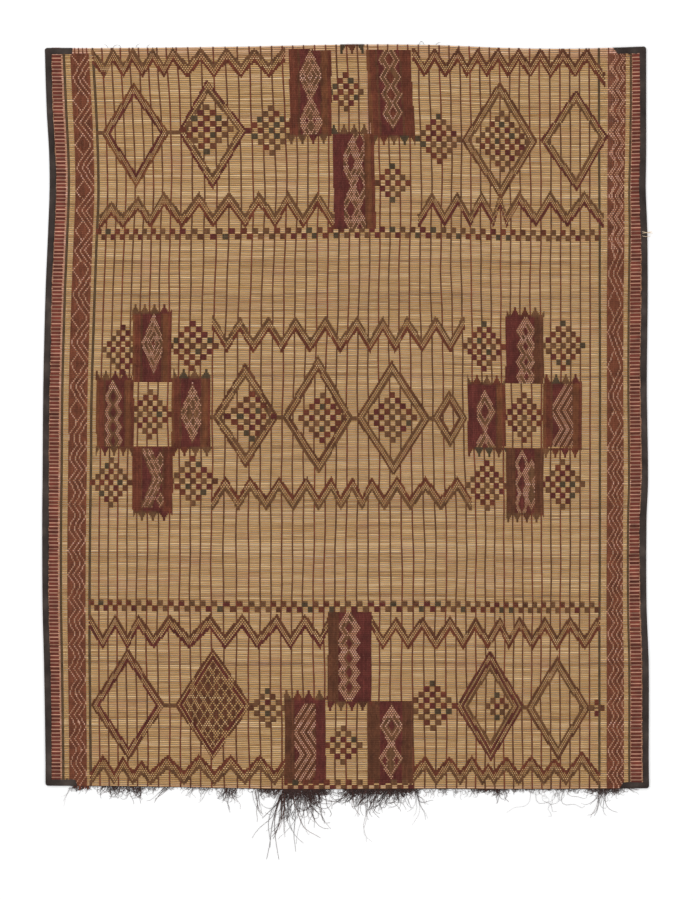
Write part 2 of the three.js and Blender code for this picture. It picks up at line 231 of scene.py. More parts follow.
def tube_faces(rings, sides, turned=False):
    """Faces of many tubes at once. rings is an array of ring numbers, one row of rings per tube, and ring k
    owns points k * sides to k * sides + sides - 1. Returns the quads, and fans over both ends. Turned faces
    run the other way round, for sections whose points do."""
    here = (rings[:, :-1, None] * sides + np.arange(sides)).reshape(-1)
    there = (rings[:, 1:, None] * sides + np.arange(sides)).reshape(-1)
    turn = np.tile(np.roll(np.arange(sides), -1) - np.arange(sides), rings[:, 1:].size)
    quads = np.stack([here, there, there + turn, here + turn], axis=-1)
    fan = np.arange(1, sides - 1)
    first = rings[:, 0, None] * sides
    last = rings[:, -1, None] * sides
    start = np.stack([first + 0 * fan, first + fan, first + fan + 1], axis=-1)
    end = np.stack([last + 0 * fan, last + fan + 1, last + fan], axis=-1)
    fans = np.concatenate([start.reshape(-1, 3), end.reshape(-1, 3)])
    if turned:
        return quads[:, ::-1], fans[:, ::-1]
    return quads, fans


# %% [markdown]
# ## The lattice
#
# The mat is a lattice: stems are its rows, and leather strips its columns. On the real mat neither is
# straight. The side edges bow, the top edge sags, and the fifty plain thongs stand 25 to 33 mm apart. One
# function carries a lattice place, which column and how many stems down, to a place in the photograph,
# and every stem, strip and motif goes through it, so that they all bend together.
#
# Across the mat a place is a number from -1 to 2: -1 is the left edge, 0 the first plain thong, 1 the last
# one and 2 the right edge.

# %% The bend of the lattice
GUIDES = {
    "down_px": [47, 110, 156, 196, 236, 271, 314, 403, 459, 550, 640, 700, 787],
    "left_px": [92.5, 96.3, 98.1, 98.6, 97.0, 95.7, 94.2, 91.6, 91.2, 90.0, 89.7, 90.2, 91.0],
    "right_px": [598.6, 598.8, 599.0, 599.2, 599.5, 599.5, 599.6, 599.8, 599.7, 599.6, 599.2, 599.2, 599.2],
}
THONGS = {
    "thong": [1, 6, 10, 13, 16, 20, 25, 30, 34, 38, 42, 46, 50],
    "upper_px": [95.7, 141.7, 179.4, 215.1, 251.3, 295.6, 348.7, 399.1, 441.0, 480.4, 520.0, 560.7, 599.5],
    "lower_px": [90.0, 136.7, 180.2, 211.5, 248.8, 292.2, 346.2, 401.9, 446.3, 485.7, 522.8, 560.2, 599.6],
}
UPPER_ROW_PX = 271.0
LOWER_ROW_PX = 550.0
PLAIN_THONGS = 50
ROUGH_X_PX = [45.0, 93.0, 599.3, 648.0]
RIGHT_LEAN_PX = 3.4
LEAN_FOOT_PX = 300.0
LEAN_FADE_PX = 200.0
LEAN_CLIMB = 4
WAVES = [
    {"half_px": 0.45, "long_px": 31.0, "turn": 23.0, "start": 0.0},
    {"half_px": 0.22, "long_px": 11.0, "turn": 61.0, "start": 1.3},
]
WAVE_CLIMB = 8


def side_px(side, y_px):
    """A side edge of the mat at a height in the photograph."""
    up = (MIDDLE_Y_PX - np.asarray(y_px)) * PIXEL_MM
    return MIDDLE_X_PX + along(SIDE_EDGES, "up_mm", side, up) / PIXEL_MM


def end_px(end, x_px):
    """The top or foot edge of the mat at a place across the photograph."""
    across = (np.asarray(x_px) - MIDDLE_X_PX) * PIXEL_MM
    return MIDDLE_Y_PX - along(END_EDGES, "across_mm", end, across) / PIXEL_MM


def thong_share(place, y_px):
    """How far between the first and the last plain thong a place lies, as the uneven thongs stand there."""
    number = 1 + place * (PLAIN_THONGS - 1)
    shares = []
    for row in ("upper_px", "lower_px"):
        first = THONGS[row][0]
        width = THONGS[row][-1] - first
        shares.append((along(THONGS, "thong", row, number) - first) / width)
    blend = np.clip((y_px - UPPER_ROW_PX) / (LOWER_ROW_PX - UPPER_ROW_PX), 0, 1)
    return shares[0] + (shares[1] - shares[0]) * blend


def lattice(place, stems):
    """A lattice place in the photograph. The row follows the top and foot edges in the proportion of stems
    counted. Between the guides the column follows the thongs, and outside them the mat's side edges. The
    right border leans outwards near the top, and every column wavers by two small waves."""
    place, stems = np.broadcast_arrays(np.asarray(place, float), np.asarray(stems, float))
    rough_x = np.interp(place, [-1, 0, 1, 2], ROUGH_X_PX)
    top = end_px("top_mm", rough_x) + END_INSET_MM / PIXEL_MM
    foot = end_px("foot_mm", rough_x) - END_INSET_MM / PIXEL_MM
    y = top + (foot - top) * stems / REEDS
    left_guide = along(GUIDES, "down_px", "left_px", y)
    right_guide = along(GUIDES, "down_px", "right_px", y)
    inner = left_guide + (right_guide - left_guide) * thong_share(np.clip(place, 0, 1), y)
    left_edge = side_px("left_mm", y)
    right_edge = side_px("right_mm", y)
    x = np.where(place < 0, left_edge + (left_guide - left_edge) * (place + 1), inner)
    x = np.where(place > 1, right_guide + (right_edge - right_guide) * (place - 1), x)
    lean = RIGHT_LEAN_PX * np.clip((LEAN_FOOT_PX - y) / LEAN_FADE_PX, 0, 1)
    x = x + lean * np.clip(np.minimum(place - 1, 2 - place) * LEAN_CLIMB, 0, 1)
    waver = sum(
        wave["half_px"] * np.sin(y / wave["long_px"] + place * wave["turn"] + wave["start"])
        for wave in WAVES
    )
    return x + np.clip(np.minimum(place, 1 - place) * WAVE_CLIMB, 0, 1) * waver, y


corner_x, corner_y = lattice(np.array([-1, 2]), np.array([0, REEDS]))
print("top left and foot right corners:", corner_x.round(1), corner_y.round(1))

# %% [markdown]
# ## Columns of leather strips
#
# Between two plain thongs there is room for eight pattern strips, about 3 mm wide, so every ninth column
# is a thong. Six more strips lie beside the last thong, where some motifs reach past it. In each side
# border a band of fourteen strips lies between two thongs. The columns are listed once, as places across
# the lattice.

# %% The columns
STRIPS_PER_THONG = 9
BAND_STRIPS = 14
LEFT_THONG = -0.605
RIGHT_THONG = 1.604
LEFT_BAND = (-0.458, -0.098)
RIGHT_BAND = (1.160, 1.484)
STRIPS_BESIDE = 6
BESIDE_STEP = 0.0235
inner_count = (PLAIN_THONGS - 1) * STRIPS_PER_THONG + 1
field_count = inner_count + STRIPS_BESIDE
places = np.concatenate([
    [LEFT_THONG],
    np.linspace(*LEFT_BAND, BAND_STRIPS),
    np.linspace(0, 1, inner_count),
    1 + BESIDE_STEP * np.arange(1, STRIPS_BESIDE + 1),
    np.linspace(*RIGHT_BAND, BAND_STRIPS),
    [RIGHT_THONG],
])
FIRST_FIELD = 1 + BAND_STRIPS
LAST_THONG = FIRST_FIELD + inner_count - 1
COLUMN = np.arange(len(places))
field_number = COLUMN - FIRST_FIELD
IN_FIELD = (field_number >= 0) & (field_number < field_count)
IN_LEFT_BAND = (COLUMN >= 1) & (COLUMN <= BAND_STRIPS)
IN_RIGHT_BAND = (field_number >= field_count) & (COLUMN < len(places) - 1)
IS_THONG = IN_FIELD & (field_number % STRIPS_PER_THONG == 0)
IS_THONG[0] = True
IS_THONG[-1] = True

CELL_X, CELL_Y = lattice(places[:, None], np.arange(REEDS)[None, :] + 0.5)
ROW = np.broadcast_to(np.arange(REEDS)[None, :], CELL_X.shape)
COLUMNS = np.broadcast_to(field_number[:, None], CELL_X.shape)
FIELD = np.broadcast_to(IN_FIELD[:, None], CELL_X.shape)
DOTS = (COLUMNS + ROW) % 2 == 0
print(len(places), "columns,", int(IS_THONG.sum()), "of them thongs")

# %% [markdown]
# ## Charting the pattern
#
# The chart has one entry for each crossing of a strip and a stem: nothing where the stem shows, or the
# leather's dye where a strip passes over it. A motif is painted into the chart by its shape in the
# photograph. Pale dots are single stems left bare in every second crossing, so a dotted line is leather
# with the even crossings taken out again.

# %% Dyes and the first thongs
BARE = 0
UMBER = 1
RUSSET = 2
OLIVE = 3
PLUM = 4
SLATE = 5
TAWNY = 6
EARTH = 7
BRICK = 8
DYES = {
    UMBER: (0.130, 0.050, 0.027),
    RUSSET: (0.150, 0.044, 0.026),
    OLIVE: (0.158, 0.076, 0.038),
    PLUM: (0.124, 0.031, 0.026),
    SLATE: (0.085, 0.060, 0.036),
    TAWNY: (0.180, 0.066, 0.031),
    EARTH: (0.085, 0.052, 0.028),
    BRICK: (0.178, 0.059, 0.033),
}
chart = np.zeros(CELL_X.shape, np.int8)
chart[IS_THONG, :] = UMBER
chart[np.nonzero(IS_THONG)[0][1::3], :] = RUSSET
chart[np.nonzero(IS_THONG)[0][2::7], :] = RUSSET
BORDER_THONGS = [0, FIRST_FIELD, LAST_THONG, len(places) - 1]
chart[BORDER_THONGS, :] = EARTH
CHECK_DYES = np.array([RUSSET, OLIVE, PLUM, OLIVE, SLATE, UMBER, OLIVE, PLUM, RUSSET])
CHECK_TABLE = 200
check_luck = np.random.default_rng(20).integers(0, len(CHECK_DYES), (CHECK_TABLE, CHECK_TABLE))
for name, dye in (("umber", UMBER), ("russet", RUSSET), ("earth", EARTH)):
    print(int((chart[:, 0] == dye).sum()), "thongs in", name)


def paint(where, dye):
    """Leather over the stems wherever the mask says."""
    chart[where & FIELD] = dye


def bare_dots(where):
    """Takes every second crossing out again."""
    chart[where & FIELD & DOTS] = BARE


def between(values, low, high):
    """A mask of the values that lie between two others."""
    return (values > low) & (values < high)


def nearest(x_px, y_px):
    """Column and row of the crossing nearest to a place in the photograph, by the sum of both distances."""
    away = np.abs(CELL_X - x_px) + np.abs(CELL_Y - y_px)
    return np.unravel_index(np.argmin(away), away.shape)


# %% Zigzags
LINE_PX = 3.6
ZIGZAG_PX = 7.1
ZIGZAG_END_PX = 2.0
ZIGZAGS = [
    {
        "top_px": 48, "foot_px": 78, "upper_dye": OLIVE, "lower_dye": RUSSET,
        "peaks_px": [91, 112.6, 132.7, 152.8, 172.9, 200.8, 226.4, 254.3, 283.3],
        "valleys_px": [104.8, 123.8, 142.7, 163.9, 187.4, 214.2, 240.9, 268.8],
    },
    {
        "top_px": 48, "foot_px": [78] * 8 + [86.5], "upper_dye": UMBER, "lower_dye": RUSSET,
        "peaks_px": [414, 434.7, 458, 477.8, 497.7, 518.4, 540.4, 562.9, 586.4],
        "valleys_px": [424, 445.4, 467, 486.4, 507.7, 529.7, 550.5, 574.6, 603.5],
    },
    {
        "top_px": [201.5, 196.5, 192, 192, 191.5, 191.5, 191.5, 191.5], "foot_px": 228.5,
        "upper_dye": OLIVE, "lower_dye": RUSSET,
        "peaks_px": [111.5, 138.3, 163.9, 199, 228.7, 258.8, 287.8, 317.5],
        "valleys_px": [101, 122.6, 150.5, 182.2, 213, 245.4, 275.5, 302.8, 332.5],
    },
    {
        "top_px": 191.5, "foot_px": 227.5, "upper_dye": OLIVE, "lower_dye": PLUM,
        "peaks_px": [432, 457.5, 481, 500, 519, 550, 584],
        "valleys_px": [419.7, 444.7, 470, 493.4, 506, 536, 567, 602],
    },
    {
        "top_px": 316.4, "foot_px": 353, "upper_dye": OLIVE, "lower_dye": RUSSET,
        "peaks_px": [214, 239.8, 268.4, 295, 325.8, 357, 382.8, 406.9, 435.7, 462.4],
        "valleys_px": [226.9, 252.8, 281.8, 310, 340, 370, 395, 421.9, 450.7],
    },
    {
        "top_px": 476.5, "foot_px": 510.5, "upper_dye": RUSSET, "lower_dye": OLIVE,
        "peaks_px": [225.3, 249.9, 278.9, 306.8, 331.3, 352.5, 371.5, 396.7, 425.5, 457.5],
        "valleys_px": [213, 238.7, 266.6, 293.4, 318.4, 340.7, 362.3, 384.5, 410, 440.7, 469.3],
    },
    {
        "top_px": 614, "foot_px": 649, "upper_dye": UMBER, "lower_dye": PLUM,
        "peaks_px": [90, 115.3, 138.3, 169.5, 210.4, 242, 277.3, 305, 329],
        "valleys_px": [103.2, 127.8, 153.9, 189.6, 224.6, 257.7, 290.7, 320.2],
    },
    {
        "top_px": 616, "foot_px": 650, "upper_dye": UMBER, "lower_dye": RUSSET,
        "peaks_px": [372, 396.2, 422.3, 450.3, 475.3, 499.8, 519.5, 544.7, 569.7, 598],
        "valleys_px": [382.8, 408.4, 435.7, 463.5, 487.7, 509, 532.5, 556.9, 584.6],
    },
    {
        "top_px": [754.5, 756, 760, 754.5, 754, 754.5, 754.5, 754.5], "foot_px": 785,
        "upper_dye": RUSSET, "lower_dye": OLIVE,
        "peaks_px": [103.2, 122.6, 141.6, 167.7, 199, 230.9, 259.9, 289],
        "valleys_px": [91.4, 114.4, 133, 150.5, 184, 214.8, 244.7, 274.4],
    },
    {
        "top_px": [755, 756, 755, 763, 756, 755, 758, 751], "foot_px": 785,
        "upper_dye": RUSSET, "lower_dye": OLIVE,
        "peaks_px": [425.5, 449.6, 472, 488.2, 506.2, 531.2, 554.3, 581.7],
        "valleys_px": [411, 435.7, 460.3, 482.2, 494, 518.4, 543.6, 566, 597.5],
    },
]


def zigzag(peaks_px, valleys_px, top_px, foot_px, upper_dye, lower_dye):
    """A zigzag band between two heights, each of which may differ from turn to turn. Its height over the
    chart is measured from a line that joins peaks and valleys in turn. Outside lie two plain lines, and the
    dots are between them."""
    x = np.concatenate([peaks_px, valleys_px])
    peaks_y = np.broadcast_to(top_px, len(peaks_px)) + ZIGZAG_PX
    valleys_y = np.broadcast_to(foot_px, len(valleys_px)) - ZIGZAG_PX
    order = np.argsort(x)
    away = CELL_Y - np.interp(CELL_X, x[order], np.concatenate([peaks_y, valleys_y])[order])
    inside = between(CELL_X, x.min() - ZIGZAG_END_PX, x.max() + ZIGZAG_END_PX)
    paint(inside & (away <= 0) & (away > -ZIGZAG_PX), upper_dye)
    paint(inside & between(away, 0, ZIGZAG_PX), lower_dye)
    bare_dots(inside & (np.abs(away) < ZIGZAG_PX - LINE_PX))


for band in ZIGZAGS:
    zigzag(**band)
print(len(ZIGZAGS), "zigzags,", int((chart != BARE).sum()), "crossings covered so far")

# %% Diamonds
OUTLINE_PX = 2.3
RIM_PX = 9.2
WIDE_RIM_PX = 12.5
MIDDLE_HALF_PX = 1.2
# the top, right, foot and left corner as x_px and y_px, the dyes of the rim outside and inside, rim_px
DIAMONDS = [
    ((133.8, 82.6), (169.6, 133.2), (136.5, 188), (101.5, 134.2), TAWNY, PLUM, RIM_PX),
    ((207, 79.5), (247, 130.8), (212.6, 190), (178, 131.6), PLUM, OLIVE, RIM_PX),
    ((499.8, 81), (537.6, 141), (501, 200), (461, 141), UMBER, OLIVE, RIM_PX),
    ((575.7, 90), (608, 137), (576.7, 192), (540, 141), PLUM, OLIVE, RIM_PX),
    ((245.5, 362.4), (278.5, 417), (246, 468.4), (212.5, 417), UMBER, OLIVE, RIM_PX),
    ((318, 355.7), (353, 417.5), (319, 474), (281.8, 417.5), OLIVE, UMBER, RIM_PX),
    ((392, 360.7), (430.5, 418), (394, 476), (355.4, 418), UMBER, OLIVE, RIM_PX),
    ((449, 389.6), (467.5, 418), (450, 447), (432, 418), OLIVE, UMBER, RIM_PX),
    ((128, 647.7), (165.5, 705), (129, 760.4), (91, 705), UMBER, PLUM, RIM_PX),
    ((490, 650.5), (524, 706), (491, 761.4), (455.5, 706), PLUM, OLIVE, WIDE_RIM_PX),
    ((557, 655.8), (590.2, 708), (558, 760.4), (525, 708), UMBER, OLIVE, RIM_PX),
]
FILLED = ((213, 647.7), (251.5, 705), (213, 759.3), (174.5, 705), UMBER, RUSSET, RIM_PX)


def diamond(top_px, right_px, foot_px, left_px, outer_dye, inner_dye, rim_px, filled=False):
    """A four-cornered outline. Its thickness is measured across the mat from the nearer side, because the
    strips are counted across. Plain lines edge it outside and inside, with dots between them. A wide rim
    has a third line along its middle."""
    heights_px = [top_px[1], left_px[1], foot_px[1]]
    left_x = np.interp(CELL_Y, heights_px, [top_px[0], left_px[0], foot_px[0]])
    heights_px = [top_px[1], right_px[1], foot_px[1]]
    right_x = np.interp(CELL_Y, heights_px, [top_px[0], right_px[0], foot_px[0]])
    depth = np.minimum(CELL_X - left_x, right_x - CELL_X)
    inside = (depth > 0) & between(CELL_Y, top_px[1], foot_px[1])
    middle = inside & FIELD & (depth > rim_px)
    if filled:
        chart[middle] = outer_dye
    else:
        chart[middle] = BARE
        chart[middle & IS_THONG[:, None]] = UMBER
    paint(inside & (depth <= rim_px), inner_dye)
    paint(inside & (depth < OUTLINE_PX), outer_dye)
    bare_dots(inside & between(depth, OUTLINE_PX, rim_px - OUTLINE_PX))
    if rim_px == WIDE_RIM_PX:
        paint(inside & (np.abs(depth - rim_px / 2) < MIDDLE_HALF_PX), outer_dye)
    return inside


for row in DIAMONDS:
    diamond(*row)
in_filled = diamond(*FILLED, filled=True)
print(len(DIAMONDS) + 1, "diamonds,", int((chart != BARE).sum()), "crossings covered so far")

# %% Short links from tip to tip
LINKS = {
    "from_px": [95, 168, 246, 292, 210, 277, 352, 430, 165, 251, 523, 588],
    "to_px": [103, 179, 252, 298, 214, 283, 356, 433, 175, 256, 526, 599],
    "y_px": [133, 132, 131, 131, 417, 417, 418, 418, 705, 705, 707, 708],
}
LINK_HALF_PX = 1.7
LINK_LAP_PX = 2.0
for from_px, to_px, y_px in zip(*LINKS.values()):
    across = between(CELL_X, from_px - LINK_LAP_PX, to_px + LINK_LAP_PX)
    paint(across & (np.abs(CELL_Y - y_px) < LINK_HALF_PX), OLIVE)
print(len(LINKS["y_px"]), "links")

# %% Checks
SQUARE_STEMS = 3
SQUARE_STRIPS = STRIPS_PER_THONG / 2


def squares(x_px, y_px):
    """Numbers of the chart's squares, counted from the one that holds a place in the photograph. A square
    is three stems high and half the space between two thongs wide."""
    column, row = nearest(x_px, y_px)
    half = int(np.floor((column - FIRST_FIELD) / SQUARE_STRIPS))
    across = np.floor(COLUMNS / SQUARE_STRIPS).astype(int) - half
    down = np.floor((ROW - row + SQUARE_STEMS // 2) / SQUARE_STEMS).astype(int)
    return across, down


def checks(mask, across, down):
    """Leather squares in mixed dyes, one dye to a square."""
    dye = CHECK_DYES[check_luck[across % CHECK_TABLE, down % CHECK_TABLE]]
    chart[mask & FIELD] = dye[mask & FIELD]


def check_lozenge(x_px, y_px, size):
    """Every second square of a lozenge that reaches size squares each way from its middle."""
    across, down = squares(x_px, y_px)
    reach = np.abs(across) + np.abs(down) <= size
    checks(reach & ((across + down + size) % 2 == 0), across + int(x_px), down + int(y_px))


LOZENGES = {
    "x_px": [208.6, 271, 347, 392, 439, 499.8, 152.3, 121.5, 194, 112.6, 191.8, 251, 322.4, 394, 524.4,
             484.5, 565, 488, 564, 265.5, 343.6, 433.6, 597, 494.5],
    "y_px": [130.4, 131.6, 91.4, 184, 140, 141, 414.7, 350, 346.6, 482.4, 481.3, 417, 418, 418, 417.3,
             345.7, 345.7, 484.9, 484.9, 708, 744.8, 706, 708, 706.5],
    "size": [4, 4, 3, 3, 4, 5, 4, 4, 4, 4, 4, 4, 4, 4, 4, 4, 4, 4, 4, 3, 3, 4, 1, 2],
}
for x_px, y_px, size in zip(*LOZENGES.values()):
    check_lozenge(x_px, y_px, size)


def check_rows(left_px, right_px, y_px):
    """Two rows of squares from side to side, the second offset by one square."""
    across, down = squares(left_px, y_px)
    inside = between(CELL_X, left_px, right_px) & between(down, -1, 2)
    checks(inside & ((across + down) % 2 == 0), across, down)


check_rows(left_px=96, right_px=600, y_px=232.4)
check_rows(left_px=88, right_px=600, y_px=601.5)
print(len(LOZENGES["size"]), "check lozenges and two double rows")

# %% Blocks
BLOCKS = {
    "left_px": [289, 366, 332.5, 132.7, 96.5, 171.7, 132.7, 505.6, 467.8, 543.2, 506, 328, 284.5, 368.5],
    "right_px": [331, 410, 374, 171.7, 134, 210.8, 172.9, 543.6, 505.6, 581.7, 543.6, 371.5, 325.8, 413.3],
    "top_px": [50, 50, 134, 313, 381, 379, 446, 316, 384, 384, 448.5, 612, 700, 700.6],
    "foot_px": [136, 136, 229.5, 382, 446.5, 446.5, 511.4, 384, 447, 447.5, 512.6, 701, 783, 783],
    "slant_px": [1, 5, 2, 0, 0, 0, 0, 0, 0, 0, 0, 0, 0, 0],
    "left_dye": [RUSSET, TAWNY, PLUM, TAWNY, TAWNY, TAWNY, RUSSET, PLUM, PLUM, TAWNY, UMBER, UMBER, UMBER,
                 UMBER],
    "right_dye": [TAWNY, RUSSET, TAWNY, TAWNY, TAWNY, TAWNY, RUSSET, UMBER, TAWNY, TAWNY, UMBER, PLUM, PLUM,
                  UMBER],
}
STRIPES = {
    "from_share": [0.0, 0.07, 0.20, 0.74, 0.78, 0.91],
    "to_share": [0.07, 0.20, 0.25, 0.78, 0.91, 1.01],
    "dye": [None, RUSSET, UMBER, UMBER, None, RUSSET],
}
# a half whose own dye is dark keeps it in all its stripes
DARK_DYES = (UMBER, PLUM)
PANEL_SHARES = (0.24, 0.76)
panels = np.zeros(chart.shape, bool)
for left_px, right_px, top_px, foot_px, slant_px, left_dye, right_dye in zip(*BLOCKS.values()):
    down = np.clip((CELL_Y - top_px) / (foot_px - top_px), 0, 1)
    share = (CELL_X - left_px - slant_px * down) / (right_px - left_px)
    inside = between(share, 0, 1) & between(CELL_Y, top_px, foot_px)
    paint(inside, PLUM)
    for from_share, to_share, dye in zip(*STRIPES.values()):
        own_dye = left_dye if from_share < 0.5 else right_dye
        stripe_dye = own_dye if dye is None or own_dye in DARK_DYES else dye
        paint(inside & (share >= from_share) & (share < to_share), stripe_dye)
    panels |= inside & between(share, *PANEL_SHARES) & FIELD
print(len(BLOCKS["left_px"]), "blocks, with", int(panels.sum()), "crossings in their panels")

# %% [markdown]
# The panel of a block holds a chain of diamonds. Each is drawn by its rings: lines at a fixed distance from
# its middle, where a step up or down counts about half as much as a step across. The rings that are dotted
# are given as distances inwards from the outermost one, so one set of rings serves all sizes.

# %% Diamonds in the panels
RINGS = {
    "wide": [(0.0, 3.6)],
    "double": [(0.0, 4.2)],
    "nest": [(0.0, 3.4), (4.8, 7.4), (8.8, 10.9)],
    "pair": [(0.0, 2.3), (4.8, 6.9)],
    "line": [(0.0, 2.2)],
    "deep": [(0.0, 3.9), (5.2, 7.6)],
    "staggered": [(0.0, 3.0), (4.0, 6.6)],
}
# x_px, middles_px, half_px, steepness, rings, core_px, core dye
FIGURES = [
    (310.3, [76], 12.2, 0.43, "nest", 2.4, OLIVE),
    (310.8, [122], 12.2, 0.43, "deep", 1.0, OLIVE),
    (305.4, [121], 4.6, 0.50, "line", 3.0, PLUM),
    (316.0, [121], 4.6, 0.50, "line", 3.0, PLUM),
    ([388.9, 390.0, 391.7, 393.0], [59.4, 77.8, 95.0, 112.8], 10.9, 0.60, "pair", 4.0, RUSSET),
    (350.8, [162.5, 209.7], 10.6, 0.43, "staggered", 4.0, PLUM),
    (359.8, [143.0, 185.5, 232.0], 10.6, 0.43, "staggered", 4.0, PLUM),
    (113.5, [396.6, 412.0, 427.0, 441.0], 9.2, 0.52, "double", 2.8, PLUM),
    (153.8, [343.6], 12.4, 0.40, "nest", 2.0, RUSSET),
    (192.6, [413.0], 13.0, 0.43, "staggered", 0.0, OLIVE),
    (193.3, [404.5, 422.5], 4.8, 0.50, "line", 3.0, OLIVE),
    (160.5, [460.0, 500.0], 4.6, 0.50, "line", 3.0, OLIVE),
    (525.7, [331.3, 346.3, 361.7, 376.7], 10.0, 0.60, "deep", 2.8, PLUM),
    (484.8, [411.5], 11.0, 0.50, "deep", 4.0, PLUM),
    (484.8, [447.0], 11.0, 0.62, "deep", 3.4, PLUM),
    (521.8, [465.0, 484.0, 503.0], 7.4, 0.43, "wide", 4.0, PLUM),
    (531.2, [474.5, 494.0], 7.4, 0.43, "wide", 4.0, OLIVE),
    (348.9, [627.3, 643.0, 657.7, 672.5, 687.0], 11.5, 0.62, "deep", 3.4, PLUM),
    (391.5, [725.7], 12.8, 0.58, "deep", 3.4, PLUM),
    (390.6, [759.0], 12.3, 0.60, "wide", 1.0, OLIVE),
    (385.2, [760.0], 4.6, 0.55, "line", 3.0, PLUM),
    (396.0, [760.0], 4.6, 0.55, "line", 3.0, PLUM),
]


def from_middle(x_px, middles_px, steepness):
    """Distance from the nearest middle: across, plus a share of the distance up or down. A leaning chain has
    one place across for each middle."""
    off = np.min(np.abs(CELL_Y[..., None] - np.array(middles_px)), axis=-1)
    middle_x = np.interp(CELL_Y, middles_px, np.broadcast_to(x_px, len(middles_px)))
    return np.abs(CELL_X - middle_x) + steepness * off


for x_px, middles_px, half_px, steepness, rings, core_px, core_dye in FIGURES:
    away = from_middle(x_px, middles_px, steepness)
    paint(panels & (away < half_px), OLIVE)
    paint(panels & (away < core_px), core_dye)
for x_px, middles_px, half_px, steepness, rings, core_px, core_dye in FIGURES:
    away = from_middle(x_px, middles_px, steepness)
    for near, far in RINGS[rings]:
        bare_dots(panels & between(away, half_px - far, half_px - near))
print(len(FIGURES), "chains of diamonds in the panels")

# %% Swinging lines in the panels
# x_px at the first height, heights_px where the lines turn, half_px, middle_px
SWINGS = [
    (571.5, [384, 411, 428.4, 448], 10.8, 563.0),
    (312.8, [702.5, 732, 755, 783], 12.2, 305.5),
]
SWING_STRIPS = 6
SWING_LINES = (0, 2)


def from_swing(x_px, heights_px):
    """Strips from a line that moves one strip sideways with every stem, and turns at each of the heights."""
    column = nearest(x_px, heights_px[0])[0]
    rows = [int(np.argmin(np.abs(CELL_Y[column] - height_px))) for height_px in heights_px]
    steps = np.diff(rows) * np.resize([-1, 1], len(rows) - 1)
    turns = np.concatenate([[0], np.cumsum(steps)]) + column - FIRST_FIELD
    return COLUMNS - np.round(np.interp(ROW, rows, turns)).astype(int)


for x_px, heights_px, half_px, middle_px in SWINGS:
    off = from_swing(x_px, heights_px)
    reach = between(CELL_Y, heights_px[0], heights_px[-1]) & (np.abs(CELL_X - middle_px) < half_px)
    reach = reach & (off >= -SWING_STRIPS) & (off < 3 * SWING_STRIPS)
    paint(panels & reach, UMBER)
    chart[panels & reach & np.isin(off % SWING_STRIPS, SWING_LINES)] = BARE
print(len(SWINGS), "panels of swinging lines")

# %% The crossed lines at the foot of the left cross
CROSSED = {"heights_px": [448, 478.5, 508], "x_px": [146, 158, 146]}
CROSSED_HALF_PX = 5.6
CROSSED_STEP_PX = 4.5
CROSSED_DOTS_PX = 3.0
crossed = CELL_X - np.interp(CELL_Y, CROSSED["heights_px"], CROSSED["x_px"])
reach = panels & between(CELL_Y, CROSSED["heights_px"][0], CROSSED["heights_px"][-1])
reach = reach & (np.abs(crossed) < CROSSED_HALF_PX)
paint(reach, OLIVE)
bare_dots(reach & (crossed % CROSSED_STEP_PX < CROSSED_DOTS_PX))
print("crossed lines:", int(reach.sum()), "crossings")

# %% The filled diamond
GRID_PX = 8.6
GRID_STEEP = 0.62
GRID_LINE_PX = 3.2
FILLED_HALF_PX = 38.5
FILLED_STEEPNESS = 0.67
RIM_DEPTHS_PX = [2.3, 5.3, 7.3, 9.3]
grid_right = (CELL_X + CELL_Y * GRID_STEEP) % GRID_PX < GRID_LINE_PX
grid_left = (CELL_X - CELL_Y * GRID_STEEP) % GRID_PX < GRID_LINE_PX
filled_x_px, filled_y_px = FILLED[0][0], FILLED[1][1]
depth = FILLED_HALF_PX - from_middle(filled_x_px, [filled_y_px], FILLED_STEEPNESS)
outer_dots, plain_line, inner_dots, grid = [in_filled & (depth > depth_px) for depth_px in RIM_DEPTHS_PX]
bare_dots(outer_dots & ~plain_line)
paint(plain_line & ~inner_dots, PLUM)
bare_dots(inner_dots & ~grid)
bare_dots(grid & (grid_right | grid_left))
print("filled diamond:", int((in_filled & (chart == BARE)).sum()), "dots")

# %% Teeth along the blocks
TOOTH_STEMS = 5
TOOTH_HALF = 3.9
TOOTH_POINT = 1.2


def teeth(left_px, right_px, y_px, upwards):
    """Pointed teeth along a block, one between each pair of thongs. A tooth is eight strips wide at the
    block and two at its tip: its half width is a power of what is left of its height."""
    row = nearest(left_px, y_px)[1]
    climb = (row - ROW) if upwards else (ROW - row)
    tooth = COLUMNS // STRIPS_PER_THONG
    from_tip = np.abs(COLUMNS - (tooth + 0.5) * STRIPS_PER_THONG)
    inside = between(CELL_X, left_px, right_px) & between(climb, -1, TOOTH_STEMS)
    wide = TOOTH_HALF * np.clip(1 - climb / TOOTH_STEMS, 0, 1) ** TOOTH_POINT
    checks(inside & (from_tip <= wide), tooth, np.full_like(tooth, int(y_px)))


TEETH = {
    "left_px": [340, 332, 289, 374, 132, 96, 172, 133, 506, 468, 543, 506, 284, 328, 96, 173, 467, 544],
    "right_px": [364, 368, 331, 415, 172, 134, 212, 173, 544, 506, 582, 544, 328, 372, 132, 211, 505, 582],
    "y_px": [46, 133, 137, 137, 312, 447.5, 447.5, 512.5, 315, 448.5, 448.5, 513.5, 699, 702, 380, 378,
             383, 383],
    "upwards": [0, 1, 0, 0, 1, 0, 0, 0, 1, 0, 0, 0, 1, 0, 1, 1, 1, 1],
}
for row in zip(*TEETH.values()):
    teeth(*row)
check_rows(left_px=284, right_px=413, y_px=781.5)
print(len(TEETH["y_px"]), "rows of teeth")

